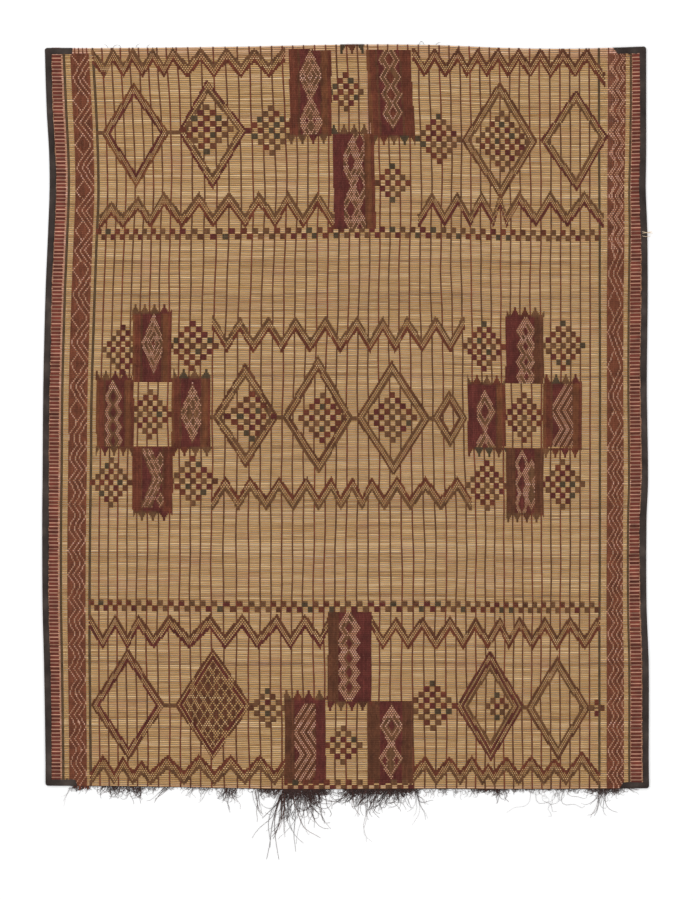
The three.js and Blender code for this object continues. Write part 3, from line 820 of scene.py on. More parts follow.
# %% [markdown]
# The side bands are solid leather with thin dotted lines that swing from side to side. Down the upper half
# of the left band and a stretch of the right one the swing is wide, and its mirror image closes a row of
# diamonds. Everywhere else three to five lines run side by side in a narrow swing. A line is charted by the
# strip that it has reached at each stem.

# %% Side bands
LEFT_SWING = {
    "turns_px": [55, 78, 101, 123, 145, 168, 191, 211, 231, 250.5, 270, 295, 318.4, 341.8, 363.6, 387, 411,
                 434],
    "strips": [12.0, 0.8] * 9,
}
RIGHT_SWING = {
    "turns_px": [250, 273.6, 303.6, 332, 367, 396, 424, 446],
    "strips": [9.0, 0.8] + [12.0, 0.8] * 3,
}
NARROW_SWING_STRIPS = 5.5
NARROW_LEFT_STRIPS = 0.7
HALF_STRIP = 0.5
ABOVE_SWING_PX = 8
BELOW_SWING_PX = 6
# side, from_px, to_px, first left turn_px, period_px, offsets in strips
NARROW_PARTS = [
    ("left", 440, 800, 457.5, 23.4, [0.0, 4.0, 7.8]),
    ("right", 0, 250, 68.2, 21.3, [0.0, 1.9, 5.2, 7.1, 10.4]),
    ("right", 446, 800, 471.4, 23.3, [0.0, 3.7, 7.4, 11.1]),
]
WIDE_OFFSETS = [0.0, 4.0, 7.8]
MIRROR_STRIPS = 12.8
BAND_TOP_PX = 53.0


def narrow_swing(y_px, first_px, period_px):
    """A triangle wave in strips: least at the first left turn, and again after every whole period."""
    turn = ((y_px - first_px) / period_px) % 1.0
    return NARROW_LEFT_STRIPS + NARROW_SWING_STRIPS * (1 - np.abs(2 * turn - 1))


def side_band(side, columns, wide_table):
    """Leather all over, with a bare stem wherever a strip's number is that of a dotted line. The wide swing
    gets its mirror image over its right half, which closes a diamond. Close to the top edge only every
    third strip goes on."""
    y = CELL_Y[columns]
    strip = np.arange(BAND_STRIPS)[:, None] + HALF_STRIP
    turns_px = wide_table["turns_px"]
    wide = np.interp(y, turns_px, wide_table["strips"])
    in_wide = between(y, turns_px[0] - ABOVE_SWING_PX, turns_px[-1] + BELOW_SWING_PX)
    line = in_wide & (wide > MIRROR_STRIPS / 2) & (np.abs(strip - MIRROR_STRIPS + wide) < HALF_STRIP)
    for offset in WIDE_OFFSETS:
        line |= in_wide & (np.abs(strip - wide - offset) < HALF_STRIP)
    for part_side, from_px, to_px, first_px, period_px, offsets in NARROW_PARTS:
        in_part = (part_side == side) & (y >= from_px) & (y < to_px)
        swing = narrow_swing(y, first_px, period_px)
        for offset in offsets:
            line |= in_part & (np.abs(strip - swing - offset) < HALF_STRIP)
    leather = np.where(line, BARE, BRICK)
    chart[columns] = np.where((y < BAND_TOP_PX) & (strip % 3 > 1), BARE, leather)


side_band("left", IN_LEFT_BAND, LEFT_SWING)
side_band("right", IN_RIGHT_BAND, RIGHT_SWING)
covered = chart != BARE
print("crossings with leather on top:", int(covered.sum()), "of", covered.size)

# %% [markdown]
# ## Ribbons
#
# A strip of leather lies over each stem that the chart gives it, spans the groove to the next one, and
# dives under the first stem that it leaves bare. The strip could be a flat band with thickness, but a low
# three-sided section with smooth shading looks as rounded as real leather for a quarter fewer faces, and
# there are tens of thousands of crossings. The leather's dip into each groove is left to the material, which
# lowers it there by bump and darkens it with painted shade.

# %% Ribbon builder
CROWN = 4.6 * MM
RIBBON_RISE = 0.62 * MM
CROWN_BASE = CROWN + 0.05 * MM
DIVE_BASE = 3.55 * MM
DIVE_RISE = 0.6
DIVE_WIDE = 0.85
BORDER_WIDE_PX = [2.3, 2.4, 2.2, 2.0]
THONG_WIDE_PX = 1.45
LAP_PX = 0.20
LONE_WIDE = 0.74
LONE_TONE = np.array([0.86, 0.68, 0.74])
CELL_VARY = 0.09
STRIP_VARY = 0.05
TONE_LIMITS = (0.6, 1.5)
# a stem value that stands for a crown, where the leather's painted groove shade is least
ON_CROWN = 0.5
PALETTE = np.array([(0.0, 0.0, 0.0), *DYES.values()])
half_rows = np.arange(2 * REEDS + 1) / 2
LINE_X, LINE_Y = lattice(places[:, None], half_rows[None, :])
pitch_px = np.gradient(LINE_X, axis=0)
pitch_px[IN_LEFT_BAND] = np.median(pitch_px[2:BAND_STRIPS])
pitch_px[IN_RIGHT_BAND] = np.median(pitch_px[-BAND_STRIPS:-3])
pitch_px[IS_THONG] = np.maximum(pitch_px[IS_THONG], THONG_WIDE_PX)
pitch_px[BORDER_THONGS] = np.array(BORDER_WIDE_PX)[:, None]
print("a pattern strip is", round(float(np.median(pitch_px)) * PIXEL_MM, 1), "mm wide")


def ribbons(name, where, tone_seed):
    """Closed three-sided ribbons over every run of marked crossings. Each column has a ring of three points
    on each crown and at both ends of a run: two at the ribbon's edges and one raised between them. The end
    rings are low, because the ribbon dives there, and reach a little past the groove. A strip that comes up
    for one stem only is pinched narrower, and is darker and redder. Each ribbon has its own tone, and each
    crossing too."""
    segment = np.repeat(where, 2, axis=1)
    before = np.zeros((len(places), 2 * REEDS + 1), bool)
    after = before.copy()
    after[:, :-1] = segment
    before[:, 1:] = segment
    on_crown = np.arange(2 * REEDS + 1) % 2 == 1
    used = (before & after & on_crown) | (before != after)
    column, row = np.nonzero(used)
    before = before[used]
    after = after[used]
    ends = before != after
    base = np.where(ends, DIVE_BASE, CROWN_BASE)
    rise = np.where(ends, DIVE_RISE, 1.0) * RIBBON_RISE
    cell_row = np.where(after, row // 2, (row - 1) // 2)
    beside = np.pad(where, ((0, 0), (1, 1)))
    lone = (where & ~beside[:, :-2] & ~beside[:, 2:])[column, cell_row]
    wide = pitch_px[column, row] / 2 * np.where(ends, DIVE_WIDE, 1.0) * np.where(lone, LONE_WIDE, 1.0)
    x = LINE_X[column, row]
    y = LINE_Y[column, row] + LAP_PX * (before.astype(float) - after)
    points = np.stack([
        to_frame(x - wide, y, base),
        to_frame(x, y, base + rise),
        to_frame(x + wide, y, base),
    ], axis=1).reshape(-1, 3)
    ring = np.nonzero(after)[0]
    a = ring * 3
    b = a + 3
    quads = np.concatenate([
        np.stack([a, b, b + 1, a + 1], axis=-1),
        np.stack([a + 1, b + 1, b + 2, a + 2], axis=-1),
        np.stack([a + 2, b + 2, b, a], axis=-1),
    ])
    start = np.nonzero(after & ~before)[0] * 3
    end = np.nonzero(before & ~after)[0] * 3
    triangles = np.concatenate([
        np.stack([start, start + 1, start + 2], axis=-1),
        np.stack([end, end + 2, end + 1], axis=-1),
    ])
    number = np.cumsum(np.any(where, axis=1)) - 1
    strips = number[-1] + 1
    left = number[column] / strips
    low = (row.max() - row) / (row.max() - row.min())
    step = 1 / (3.0 * strips)
    sides = []
    for side in range(3):
        u0 = left[ring] + side * step
        u1 = u0 + step
        corners = [(u0, low[ring]), (u0, low[ring + 1]), (u1, low[ring + 1]), (u1, low[ring])]
        sides.append(np.stack([np.stack(corner_uv, -1) for corner_uv in corners], axis=1))
    cap = np.stack([left, low], -1)[np.concatenate([start, end]) // 3]
    caps = np.repeat(cap[:, None, :], 3, axis=1)
    map_uv = np.concatenate([np.concatenate(sides).reshape(-1, 2), caps.reshape(-1, 2)])
    tone_luck = np.random.default_rng(tone_seed)
    per_cell = tone_luck.normal(1.0, CELL_VARY, (len(places), REEDS + 1))
    per_strip = tone_luck.normal(1.0, STRIP_VARY, len(places))
    tone = np.clip(per_cell[column, cell_row] * per_strip[column], *TONE_LIMITS)
    tone = tone[:, None] * np.where(lone[:, None], LONE_TONE, 1.0)
    colour = np.repeat(PALETTE[chart[column, cell_row]] * tone, 3, axis=0)
    values = {"stem": np.repeat(row / 2.0, 3)}
    return make_piece(name, points, quads, triangles, values=values, colours={"dye": colour}, map_uv=map_uv)


# %% [markdown]
# ## Materials
#
# Straw is a warm tan with long streaks along each stem, and the dye of the leather has stained it here and
# there. Each stem has its own tone, which changes a little again between one thong and the next, and painted
# shade darkens it away from the crown, between the stems. The leather takes its dye from the chart, is
# rubbed paler where its fine grain stands high, and has painted shade that makes it darkest in the grooves.

# %% Material helpers
NOISE_ROUGHNESS = 0.55


class Nodes:
    """A short way to write a node tree: each call adds one node, sets its values and returns it."""

    def __init__(self, name):
        """A new material with its shader."""
        self.material = bpy.data.materials.new(name)
        self.material.use_nodes = True
        self.tree = self.material.node_tree
        self.shader = self.tree.nodes["Principled BSDF"]

    def add(self, kind, **settings):
        """One node with its settings."""
        node = self.tree.nodes.new(kind)
        for label, value in settings.items():
            setattr(node, label, value)
        return node

    def join(self, source, target):
        """A link from an output to an input."""
        self.tree.links.new(source, target)

    def noise(self, scale, detail=3.0, stretch=(1.0, 1.0, 1.0)):
        """Soft noise about one half, in places on the mat. A larger scale makes it finer, detail adds finer
        layers, and a small stretch draws it out in that direction."""
        place = self.add("ShaderNodeTexCoord")
        mapping = self.add("ShaderNodeMapping")
        mapping.inputs["Scale"].default_value = stretch
        self.join(place.outputs["Object"], mapping.inputs["Vector"])
        node = self.add("ShaderNodeTexNoise")
        node.inputs["Scale"].default_value = scale
        node.inputs["Detail"].default_value = detail
        node.inputs["Roughness"].default_value = NOISE_ROUGHNESS
        self.join(mapping.outputs["Vector"], node.inputs["Vector"])
        return node.outputs["Fac"]

    def value(self, name):
        """The outputs of a value that the mesh keeps for each point."""
        return self.add("ShaderNodeAttribute", attribute_name=name).outputs

    def ramp(self, factor, stops):
        """A colour for each factor, mixed straight between the two nearest stops."""
        node = self.add("ShaderNodeValToRGB")
        ramp = node.color_ramp
        while len(ramp.elements) < len(stops):
            ramp.elements.new(0.5)
        for element, (at, colour) in zip(ramp.elements, stops):
            element.position = at
            element.color = (*colour, 1.0)
        self.join(factor, node.inputs["Fac"])
        return node.outputs["Color"]

    def mix(self, factor, first, second, blend="MIX"):
        """The first colour, changed by the second as far as the factor says."""
        node = self.add("ShaderNodeMix", data_type="RGBA", blend_type=blend)
        for source, label in ((factor, "Factor"), (first, "A"), (second, "B")):
            self.feed(source, node.inputs[label])
        return node.outputs["Result"]

    def feed(self, source, target):
        """Sets an input, by a link where the source is another node's output."""
        if isinstance(source, bpy.types.NodeSocket):
            self.join(source, target)
        elif isinstance(source, tuple):
            target.default_value = (*source, 1.0)
        else:
            target.default_value = source

    def maths(self, operation, first, second=0.0):
        """One operation on two numbers or outputs."""
        node = self.add("ShaderNodeMath", operation=operation)
        self.feed(first, node.inputs[0])
        self.feed(second, node.inputs[1])
        return node.outputs["Value"]

    def scaled(self, source, times, plus):
        """The source times one number, plus another."""
        return self.maths("ADD", self.maths("MULTIPLY", source, times), plus)

    def bump(self, height, strength, distance):
        """Tilts the shading as if the height stood out of the surface by as much as the distance."""
        node = self.add("ShaderNodeBump")
        node.inputs["Strength"].default_value = strength
        node.inputs["Distance"].default_value = distance
        self.join(height, node.inputs["Height"])
        self.join(node.outputs["Normal"], self.shader.inputs["Normal"])

    def surface(self, colour, roughness, specular=0.5):
        """The finish: its colour, roughness and how much light it throws straight back."""
        self.shader.inputs["Specular IOR Level"].default_value = specular
        self.feed(colour, self.shader.inputs["Base Color"])
        self.feed(roughness, self.shader.inputs["Roughness"])
        return self.material


# %% Straw stained by the leather
ZONES = [
    {"x_px": (85, 608), "y_px": (40, 60), "share": 0.35},
    {"x_px": (85, 608), "y_px": (784, 794), "share": 0.30},
]
for left_px, right_px, top_px, foot_px in zip(*list(BLOCKS.values())[:4]):
    ZONES.append({"x_px": (left_px, right_px), "y_px": (top_px, foot_px), "share": 1.0})
ZONE_STEEPNESS = 150.0
BAND_LAP = 0.6
THONG_SHIFT = 60.02


def thong_number(place):
    """A place across the lattice, counted in spaces between two thongs. The shift keeps the number above
    nothing as far as the left edge, and lets a whole number fall just beside a thong."""
    return place * (PLAIN_THONGS - 1) + THONG_SHIFT


def dyed_zone(made):
    """How much the leather's dye has rubbed off on the straw: one over the blocks, the side bands and all
    that lies outside the outer thongs, and less at the top and foot edges. Each zone is a box whose soft
    edges climb evenly from nothing, and where zones meet the greater one counts."""
    place = made.add("ShaderNodeSeparateXYZ")
    made.join(made.add("ShaderNodeTexCoord").outputs["Object"], place.inputs["Vector"])
    total = 0.0
    for zone in ZONES:
        inside = zone["share"]
        for axis, name in enumerate(("x_px", "y_px")):
            low, high = zone[name]
            edge = to_frame(np.array([low, high]), np.array([low, high]), 0.0)[:, axis]
            off = made.maths("ABSOLUTE", made.maths("SUBTRACT", place.outputs[axis], float(edge.mean())))
            room = made.maths("SUBTRACT", float(abs(edge[1] - edge[0])) / 2, off)
            soft = made.maths("MULTIPLY", room, ZONE_STEEPNESS)
            soft.node.use_clamp = True
            inside = made.maths("MULTIPLY", soft, inside)
        total = made.maths("MAXIMUM", inside, total)
    across = made.value("thong")["Fac"]
    for first, last in (LEFT_BAND, RIGHT_BAND):
        half = (last - first) / 2 * (PLAIN_THONGS - 1) + BAND_LAP
        off = made.maths("ABSOLUTE", made.maths("SUBTRACT", across, thong_number((first + last) / 2)))
        total = made.maths("MAXIMUM", made.maths("LESS_THAN", off, half), total)
    left_of = made.maths("LESS_THAN", across, thong_number(LEFT_THONG))
    right_of = made.maths("GREATER_THAN", across, thong_number(RIGHT_THONG))
    return made.maths("MAXIMUM", made.maths("ADD", left_of, right_of), total)


# %% Straw
def straw():
    """Dry grass: the stem's tone sets a place on a ramp from brown to pale straw. Long thin noise along the
    stem moves it up and down, and so does a fixed chance for each stretch of a stem between two thongs.
    Points away from the crown are darker, as painted shade between the stems, and wide soft noise adds
    stains."""
    made = Nodes("dry_straw")
    tone = made.value("tone")["Fac"]
    streak = made.noise(1.0, detail=4.0, stretch=(3.0, 260.0, 260.0))
    fleck = made.noise(1.0, detail=2.0, stretch=(26.0, 330.0, 90.0))
    streak_push = made.scaled(streak, 1.1, -0.55)
    fleck_push = made.scaled(fleck, 0.8, -0.4)
    cell = made.add("ShaderNodeCombineXYZ")
    made.join(made.maths("FLOOR", made.value("thong")["Fac"]), cell.inputs["X"])
    made.join(made.value("stem")["Fac"], cell.inputs["Y"])
    chance = made.add("ShaderNodeTexWhiteNoise", noise_dimensions="2D")
    made.join(cell.outputs["Vector"], chance.inputs["Vector"])
    cell_push = made.scaled(chance.outputs["Value"], 0.32, -0.16)
    level = made.maths("ADD", made.maths("ADD", tone, streak_push), made.maths("ADD", fleck_push, cell_push))
    base = made.ramp(level, [
        (0.0, (0.280, 0.142, 0.050)),
        (0.3, (0.430, 0.244, 0.092)),
        (0.6, (0.540, 0.330, 0.142)),
        (1.0, (0.740, 0.515, 0.285)),
    ])
    # painted shade: the straw darkens away from each stem's crown, between the stems
    painted_gap_shade = made.ramp(made.value("crown")["Fac"], [(0.50, (0.26, 0.19, 0.13)), (0.70, (1.0, 1.0, 1.0))])
    base = made.mix(1.0, base, painted_gap_shade, "MULTIPLY")
    wide = made.noise(8.0, stretch=(1.0, 2.2, 1.0))
    stain = made.ramp(wide, [(0.52, (0.0, 0.0, 0.0)), (0.74, (0.36, 0.36, 0.36))])
    stained = made.mix(stain, base, (0.42, 0.20, 0.115))
    stained = made.mix(dyed_zone(made), stained, (1.04, 0.90, 1.30), "MULTIPLY")
    made.bump(streak, 0.25, 0.0006)
    return made.surface(stained, made.scaled(fleck, 0.25, 0.5), specular=0.2)


def strip_leather():
    """Thin dyed leather: the chart's dye, darker and lighter in soft patches, paler where the noise is high
    and the strip is rubbed. The stem attribute grows by one from stem to stem and is whole in the grooves,
    so its cosine is greatest there, where it lowers the leather by bump and darkens it with painted shade."""
    made = Nodes("strip_leather")
    dye = made.value("dye")["Color"]
    patch = made.noise(34.0)
    grain = made.noise(900.0, detail=2.0, stretch=(1.0, 0.35, 1.0))
    shade = made.ramp(patch, [(0.30, (0.72, 0.72, 0.72)), (0.70, (1.24, 1.18, 1.12))])
    tinted = made.mix(1.0, dye, shade, "MULTIPLY")
    rubbed = made.ramp(grain, [(0.58, (0.0, 0.0, 0.0)), (0.82, (0.5, 0.5, 0.5))])
    colour = made.mix(rubbed, tinted, (0.30, 0.165, 0.095))
    # painted shade: the leather is darkened where it dips into each groove between the stems
    turns = made.maths("MULTIPLY", made.value("stem")["Fac"], 2 * np.pi)
    dip = made.scaled(made.maths("COSINE", turns), 0.5, 0.5)
    shaded = made.ramp(dip, [(0.35, (1.06, 1.06, 1.06)), (1.0, (0.74, 0.72, 0.70))])
    colour = made.mix(1.0, colour, shaded, "MULTIPLY")
    made.bump(made.maths("SUBTRACT", grain, dip), 0.3, 0.0004)
    return made.surface(colour, made.scaled(patch, 0.3, 0.55), specular=0.1)


def binding_leather():
    """Dark worn leather: nearly black brown by soft noise, greyer where the fine grain stands high and the
    leather is rubbed. Both noises raise it."""
    made = Nodes("binding_leather")
    wide = made.noise(22.0, detail=5.0)
    grain = made.noise(420.0)
    colour = made.ramp(wide, [
        (0.30, (0.018, 0.012, 0.010)),
        (0.55, (0.036, 0.026, 0.022)),
        (0.78, (0.075, 0.056, 0.046)),
    ])
    rubbed = made.ramp(grain, [(0.55, (0.0, 0.0, 0.0)), (0.85, (0.35, 0.35, 0.35))])
    worn = made.mix(rubbed, colour, (0.12, 0.095, 0.08))
    made.bump(made.maths("ADD", grain, made.maths("MULTIPLY", wide, 2.0)), 0.5, 0.0008)
    return made.surface(worn, made.scaled(grain, 0.3, 0.45), specular=0.12)


def hair():
    """Wiry hair, dark brown with a few rusty strands."""
    made = Nodes("fringe_hair")
    tone = made.value("tone")["Fac"]
    colour = made.ramp(tone, [
        (0.0, (0.022, 0.009, 0.007)),
        (0.6, (0.062, 0.022, 0.017)),
        (1.0, (0.135, 0.050, 0.034)),
    ])
    fine = made.noise(1500.0, detail=2.0)
    made.bump(fine, 0.2, 0.0002)
    return made.surface(colour, 0.62)


def pale_floor():
    """A plain pale floor with the least trace of unevenness."""
    made = Nodes("pale_floor")
    soft = made.noise(1.5, detail=2.0)
    colour = made.ramp(soft, [(0.3, (0.90, 0.90, 0.90)), (0.7, (0.93, 0.93, 0.93))])
    return made.surface(colour, 0.8)


STRAW = straw()
STRIP_LEATHER = strip_leather()
BINDING_LEATHER = binding_leather()
HAIR = hair()
print("materials:", [made.name for made in (STRAW, STRIP_LEATHER, BINDING_LEATHER, HAIR)])

# %% The floor
FLOOR_HALF = 12.0
FLOOR_DROP = 0.0004
corners = np.array([[-1, -1, 0], [1, -1, 0], [1, 1, 0], [-1, 1, 0]], float) * FLOOR_HALF
corners[:, 2] = -FLOOR_DROP
floor = make_piece("floor", corners, np.array([[0, 1, 2, 3]]))
floor.data.materials.append(pale_floor())
print("the floor is", 2 * FLOOR_HALF, "m wide")

# %% [markdown]
# ## The stems
#
# Four hundred stems lie across the mat, a little flattened. Each could be an instance of one cylinder, but
# then all would be straight and alike. So each is a closed six-sided tube whose rings follow the lattice,
# with its own thickness and tone. They are joined in four meshes of a hundred, so that the exported model
# keeps a sharp picture of each. About one stem in twelve is darker than the rest and one in ten paler.

# %% Stems
LEFT_OF_FIELD = [-0.93, -0.6, -0.3]
RIGHT_OF_FIELD = [1.3, 1.6, 1.94]
FIELD_PLACES = np.append(np.arange(0, PLAIN_THONGS, 3) / (PLAIN_THONGS - 1), 1.0)
STEM_PLACES = np.concatenate([LEFT_OF_FIELD, FIELD_PLACES, RIGHT_OF_FIELD])
STEM_RINGS = len(STEM_PLACES)
STEM_SIDES = 6
STEM_HALF_WIDE = 2.42 * MM
STEM_HALF_HIGH = 2.0 * MM
STEM_MIDDLE = CROWN - STEM_HALF_HIGH
STEMS_IN_MESH = 100
THICK_LIMITS = (0.88, 1.0)
DARK_STEMS = {"part": 0.08, "tone": -0.20}
PALE_STEMS = {"part": 0.10, "tone": 0.16}


def stems(name, first):
    """A hundred stems. A ring's points lie on an ellipse in the plane across the stem, at even angles from
    the crown. Points away from the crown are marked, so that the material paints shade between the stems."""
    stem_luck = np.random.default_rng(100 + first)
    numbers = np.arange(first, first + STEMS_IN_MESH)
    x, y = lattice(STEM_PLACES[None, :], numbers[:, None] + 0.5)
    middle = to_frame(x, y, STEM_MIDDLE)
    thick = stem_luck.normal(0.97, 0.03, (STEMS_IN_MESH, 1)) * stem_luck.normal(1.0, 0.02, x.shape)
    thick = np.clip(thick, *THICK_LIMITS)
    middle[..., 1] += stem_luck.normal(0.0, 0.12 * MM, x.shape)
    middle[..., 2] += np.clip(stem_luck.normal(-0.1, 0.1, (STEMS_IN_MESH, 1)), -0.3, 0.03) * MM
    angle = np.pi / 2 + np.arange(STEM_SIDES) * 2 * np.pi / STEM_SIDES
    points = np.repeat(middle[:, :, None, :], STEM_SIDES, axis=2)
    points[..., 1] += STEM_HALF_WIDE * thick[..., None] * np.cos(angle)
    points[..., 2] += STEM_HALF_HIGH * thick[..., None] * np.sin(angle)
    rings = np.arange(STEMS_IN_MESH * STEM_RINGS).reshape(STEMS_IN_MESH, STEM_RINGS)
    quads, fans = tube_faces(rings, STEM_SIDES, turned=True)
    tone = stem_luck.normal(0.5, 0.10, STEMS_IN_MESH)
    for odd in (DARK_STEMS, PALE_STEMS):
        tone += np.where(stem_luck.random(STEMS_IN_MESH) < odd["part"], odd["tone"], 0.0)
    ring_points = STEM_RINGS * STEM_SIDES
    values = {
        "tone": np.repeat(tone, ring_points),
        "stem": np.repeat(numbers, ring_points),
        "thong": np.tile(np.repeat(thong_number(STEM_PLACES), STEM_SIDES), STEMS_IN_MESH),
        # the crown value sets where the straw gets painted shade between the stems
        "crown": np.tile(np.clip(np.sin(angle), 0, 1), STEMS_IN_MESH * STEM_RINGS),
    }
    ring_u = (STEM_PLACES - STEM_PLACES[0]) / (STEM_PLACES[-1] - STEM_PLACES[0])
    corner_stem = quads // ring_points
    corner_ring = quads // STEM_SIDES % STEM_RINGS
    corner_side = quads % STEM_SIDES
    wraps = corner_side.max(axis=1) - corner_side.min(axis=1) > 1
    corner_side = np.where(wraps[:, None] & (corner_side == 0), STEM_SIDES, corner_side)
    v = (corner_stem + corner_side / STEM_SIDES) / STEMS_IN_MESH
    map_quads = np.stack([ring_u[corner_ring], v], axis=-1).reshape(-1, 2)
    fan_v = (fans // ring_points + 0.5) / STEMS_IN_MESH
    map_fans = np.stack([ring_u[fans // STEM_SIDES % STEM_RINGS], fan_v], axis=-1).reshape(-1, 2)
    map_uv = np.concatenate([map_quads, map_fans])
    return make_piece(name, points.reshape(-1, 3), quads, fans, values=values, map_uv=map_uv)


for group, first in enumerate(range(0, REEDS, STEMS_IN_MESH)):
    piece = stems(f"stems_{group + 1}", first)
    finish_piece(piece, STRAW, ["reed_panel"] if group == 0 else [])

# %% [markdown]
# ## Thongs and pattern strips
#
# The chart is turned into ribbons region by region, so that no mesh grows too large: plain thongs in two
# halves, the two side bands, and the pattern in six parts.

# %% Leather strips
is_thong_cell = np.broadcast_to(IS_THONG[:, None], chart.shape) & np.isin(chart, [UMBER, RUSSET, EARTH])
left_half = np.broadcast_to((places < 0.5)[:, None], chart.shape)
band_cells = np.broadcast_to((IN_LEFT_BAND | IN_RIGHT_BAND)[:, None], chart.shape)
inlay = covered & ~is_thong_cell & ~band_cells
regions = {
    "thongs_left": is_thong_cell & left_half,
    "thongs_right": is_thong_cell & ~left_half,
    "band_left": covered & band_cells & left_half,
    "band_right": covered & band_cells & ~left_half,
}
TIERS = {"top": (0, 106), "middle": (106, 300), "foot": (300, REEDS)}
for tier, (first_row, last_row) in TIERS.items():
    in_tier = (ROW >= first_row) & (ROW < last_row)
    regions[f"pattern_{tier}_left"] = inlay & in_tier & left_half
    regions[f"pattern_{tier}_right"] = inlay & in_tier & ~left_half
for seed, (name, where) in enumerate(regions.items(), 300):
    finish_piece(ribbons(name, where, seed), STRIP_LEATHER)


# %% [markdown]
# ## Red ribs
#
# Beside each binding a red leather strip is wrapped so that it bulges over every second stem, and the stem
# between shows as a pale pink stripe. A rib is a short bolster: a half-round section of five points, low at
# both ends. The pale stripes are lower and narrower bolsters of the same kind.

# %% Rib builder
RIB_SIDES = 5
RIB_SHARES = np.array([0.0, 0.12, 0.88, 1.0])
RIB_LIFT = np.array([0.55, 1.0, 1.0, 0.55])
RIB_ZONES = [(-0.864, -0.664), (1.634, 1.852)]
RIB_LOOKS = {
    "red": {"first": 0, "half_wide_mm": 3.5, "high_mm": 2.75, "dye": (0.112, 0.025, 0.018), "vary": 0.16},
    "pink": {"first": 1, "half_wide_mm": 1.9, "high_mm": 2.25, "dye": (0.350, 0.185, 0.132), "vary": 0.18},
}
RIB_BASE_MM = 2.6
RIB_SHIFT_PX = 0.12
RIB_VARY = 0.05


def ribs(name, looks, seed):
    """Bolsters over every second stem, at both sides of the mat. The section runs in even angles over a half
    ellipse. Along a bolster the height climbs from 0.55 to 1, stays, and falls again, and the width follows
    it by three tenths."""
    rib_luck = np.random.default_rng(seed)
    numbers = np.arange(looks["first"], REEDS, 2)
    angle = np.linspace(np.pi, 0, RIB_SIDES)
    points = []
    for first_place, last_place in RIB_ZONES:
        place = first_place + (last_place - first_place) * RIB_SHARES
        x, y = lattice(place[None, :], numbers[:, None] + 0.5)
        x = x + rib_luck.normal(0, RIB_SHIFT_PX, (len(numbers), 1))
        wide = looks["half_wide_mm"] * MM * rib_luck.normal(1.0, RIB_VARY, (len(numbers), 1))
        wide = wide * (0.7 + 0.3 * RIB_LIFT)
        high = looks["high_mm"] * MM * RIB_LIFT * rib_luck.normal(1.0, RIB_VARY, (len(numbers), 1))
        ring = np.repeat(to_frame(x, y, RIB_BASE_MM * MM)[:, :, None, :], RIB_SIDES, axis=2)
        ring[..., 1] += wide[..., None] * np.cos(angle)
        ring[..., 2] += high[..., None] * np.sin(angle)
        points.append(ring.reshape(-1, 3))
    count = len(RIB_ZONES) * len(numbers)
    rings = np.arange(count * len(RIB_SHARES)).reshape(count, len(RIB_SHARES))
    quads, fans = tube_faces(rings, RIB_SIDES)
    tone = np.repeat(rib_luck.normal(1.0, looks["vary"], count), len(RIB_SHARES) * RIB_SIDES)
    colour = np.clip(tone, *TONE_LIMITS)[:, None] * np.array(looks["dye"])
    values = {"stem": np.full(len(tone), ON_CROWN)}
    return make_piece(name, np.concatenate(points), quads, fans, values=values, colours={"dye": colour})


for seed, (name, looks) in enumerate(RIB_LOOKS.items(), 700):
    finish_piece(ribs(f"ribs_{name}", looks, seed), STRIP_LEATHER)

# %% [markdown]
# ## Bindings
#
# The binding is one dark leather strip, folded over the side edge and turned a little way along the top and
# the foot. A bevelled curve would pinch its section at the corners, so it is drawn as a closed section
# swept down the edge. Each ring of the sweep reaches from a point
# on the outer outline to a point on the inner one, so at a corner the rings fan round the inner corner, as
# folded leather does. Fine creases cross it.

# %% Binding builder
LIP_MM = 17.2
LIP_PX = LIP_MM / PIXEL_MM
CORNER_RADIUS_PX = 2.6
CORNER_STEPS = 6
END_STEPS = 16
SIDE_STEPS = 250
ENDS = {"top_mm": {"near_px": 50.0, "down": 1}, "foot_mm": {"near_px": 786.0, "down": -1}}
# at each end the length that is turned over and the slant of its cut tip, both in mm
BINDINGS = {
    "left": {"edge": "left_mm", "inward": 1, "top_mm": (75, 2), "foot_mm": (86, 6)},
    "right": {"edge": "right_mm", "inward": -1, "top_mm": (90, 14), "foot_mm": (80, 10)},
}
SECTION = {
    "inward": [1.03, 0.98, 0.90, 0.70, 0.42, 0.18, 0.05, 0.0, 0.0, 0.06, 0.30, 1.00],
    "high_mm": [3.2, 5.0, 5.75, 5.95, 6.0, 5.75, 4.9, 3.7, 2.2, 0.9, 0.1, 0.1],
}
FOLD_FROM_MM = 4.5
CREASE_LIFT = 0.035
LIFT_LIMIT = 1.03
LIP_WAVE = 0.05
LIP_WAVE_STEPS = 9.0
LIP_VARY = 0.035


def turned_end(end, edge, inward, long_mm, slant_mm):
    """Outer and inner outline of one turned end: along the end edge towards the corner, then a quarter turn
    about a centre inside it. The inner outline keeps one lip away and stays still at the corner. Towards
    the cut tip it slants off with the sixth power of the distance."""
    down = ENDS[end]["down"]
    corner_y = float(end_px(end, side_px(edge, ENDS[end]["near_px"])))
    corner_x = float(side_px(edge, corner_y))
    along_x = corner_x + inward * np.linspace(long_mm / PIXEL_MM, LIP_PX, END_STEPS)
    along_y = end_px(end, along_x)
    slant = slant_mm / PIXEL_MM * np.linspace(1, 0, END_STEPS) ** 6
    angle = np.linspace(0, np.pi / 2, CORNER_STEPS)
    turn_x = corner_x + inward * CORNER_RADIUS_PX * (1 - np.sin(angle))
    turn_y = corner_y + down * CORNER_RADIUS_PX * (1 - np.cos(angle))
    still_x = np.full(CORNER_STEPS, corner_x + inward * LIP_PX)
    still_y = np.full(CORNER_STEPS, corner_y + down * LIP_PX)
    outer = [np.append(along_x, turn_x), np.append(along_y, turn_y)]
    inner = [np.append(along_x - inward * slant, still_x), np.append(along_y + down * LIP_PX, still_y)]
    return np.stack(outer, -1), np.stack(inner, -1)


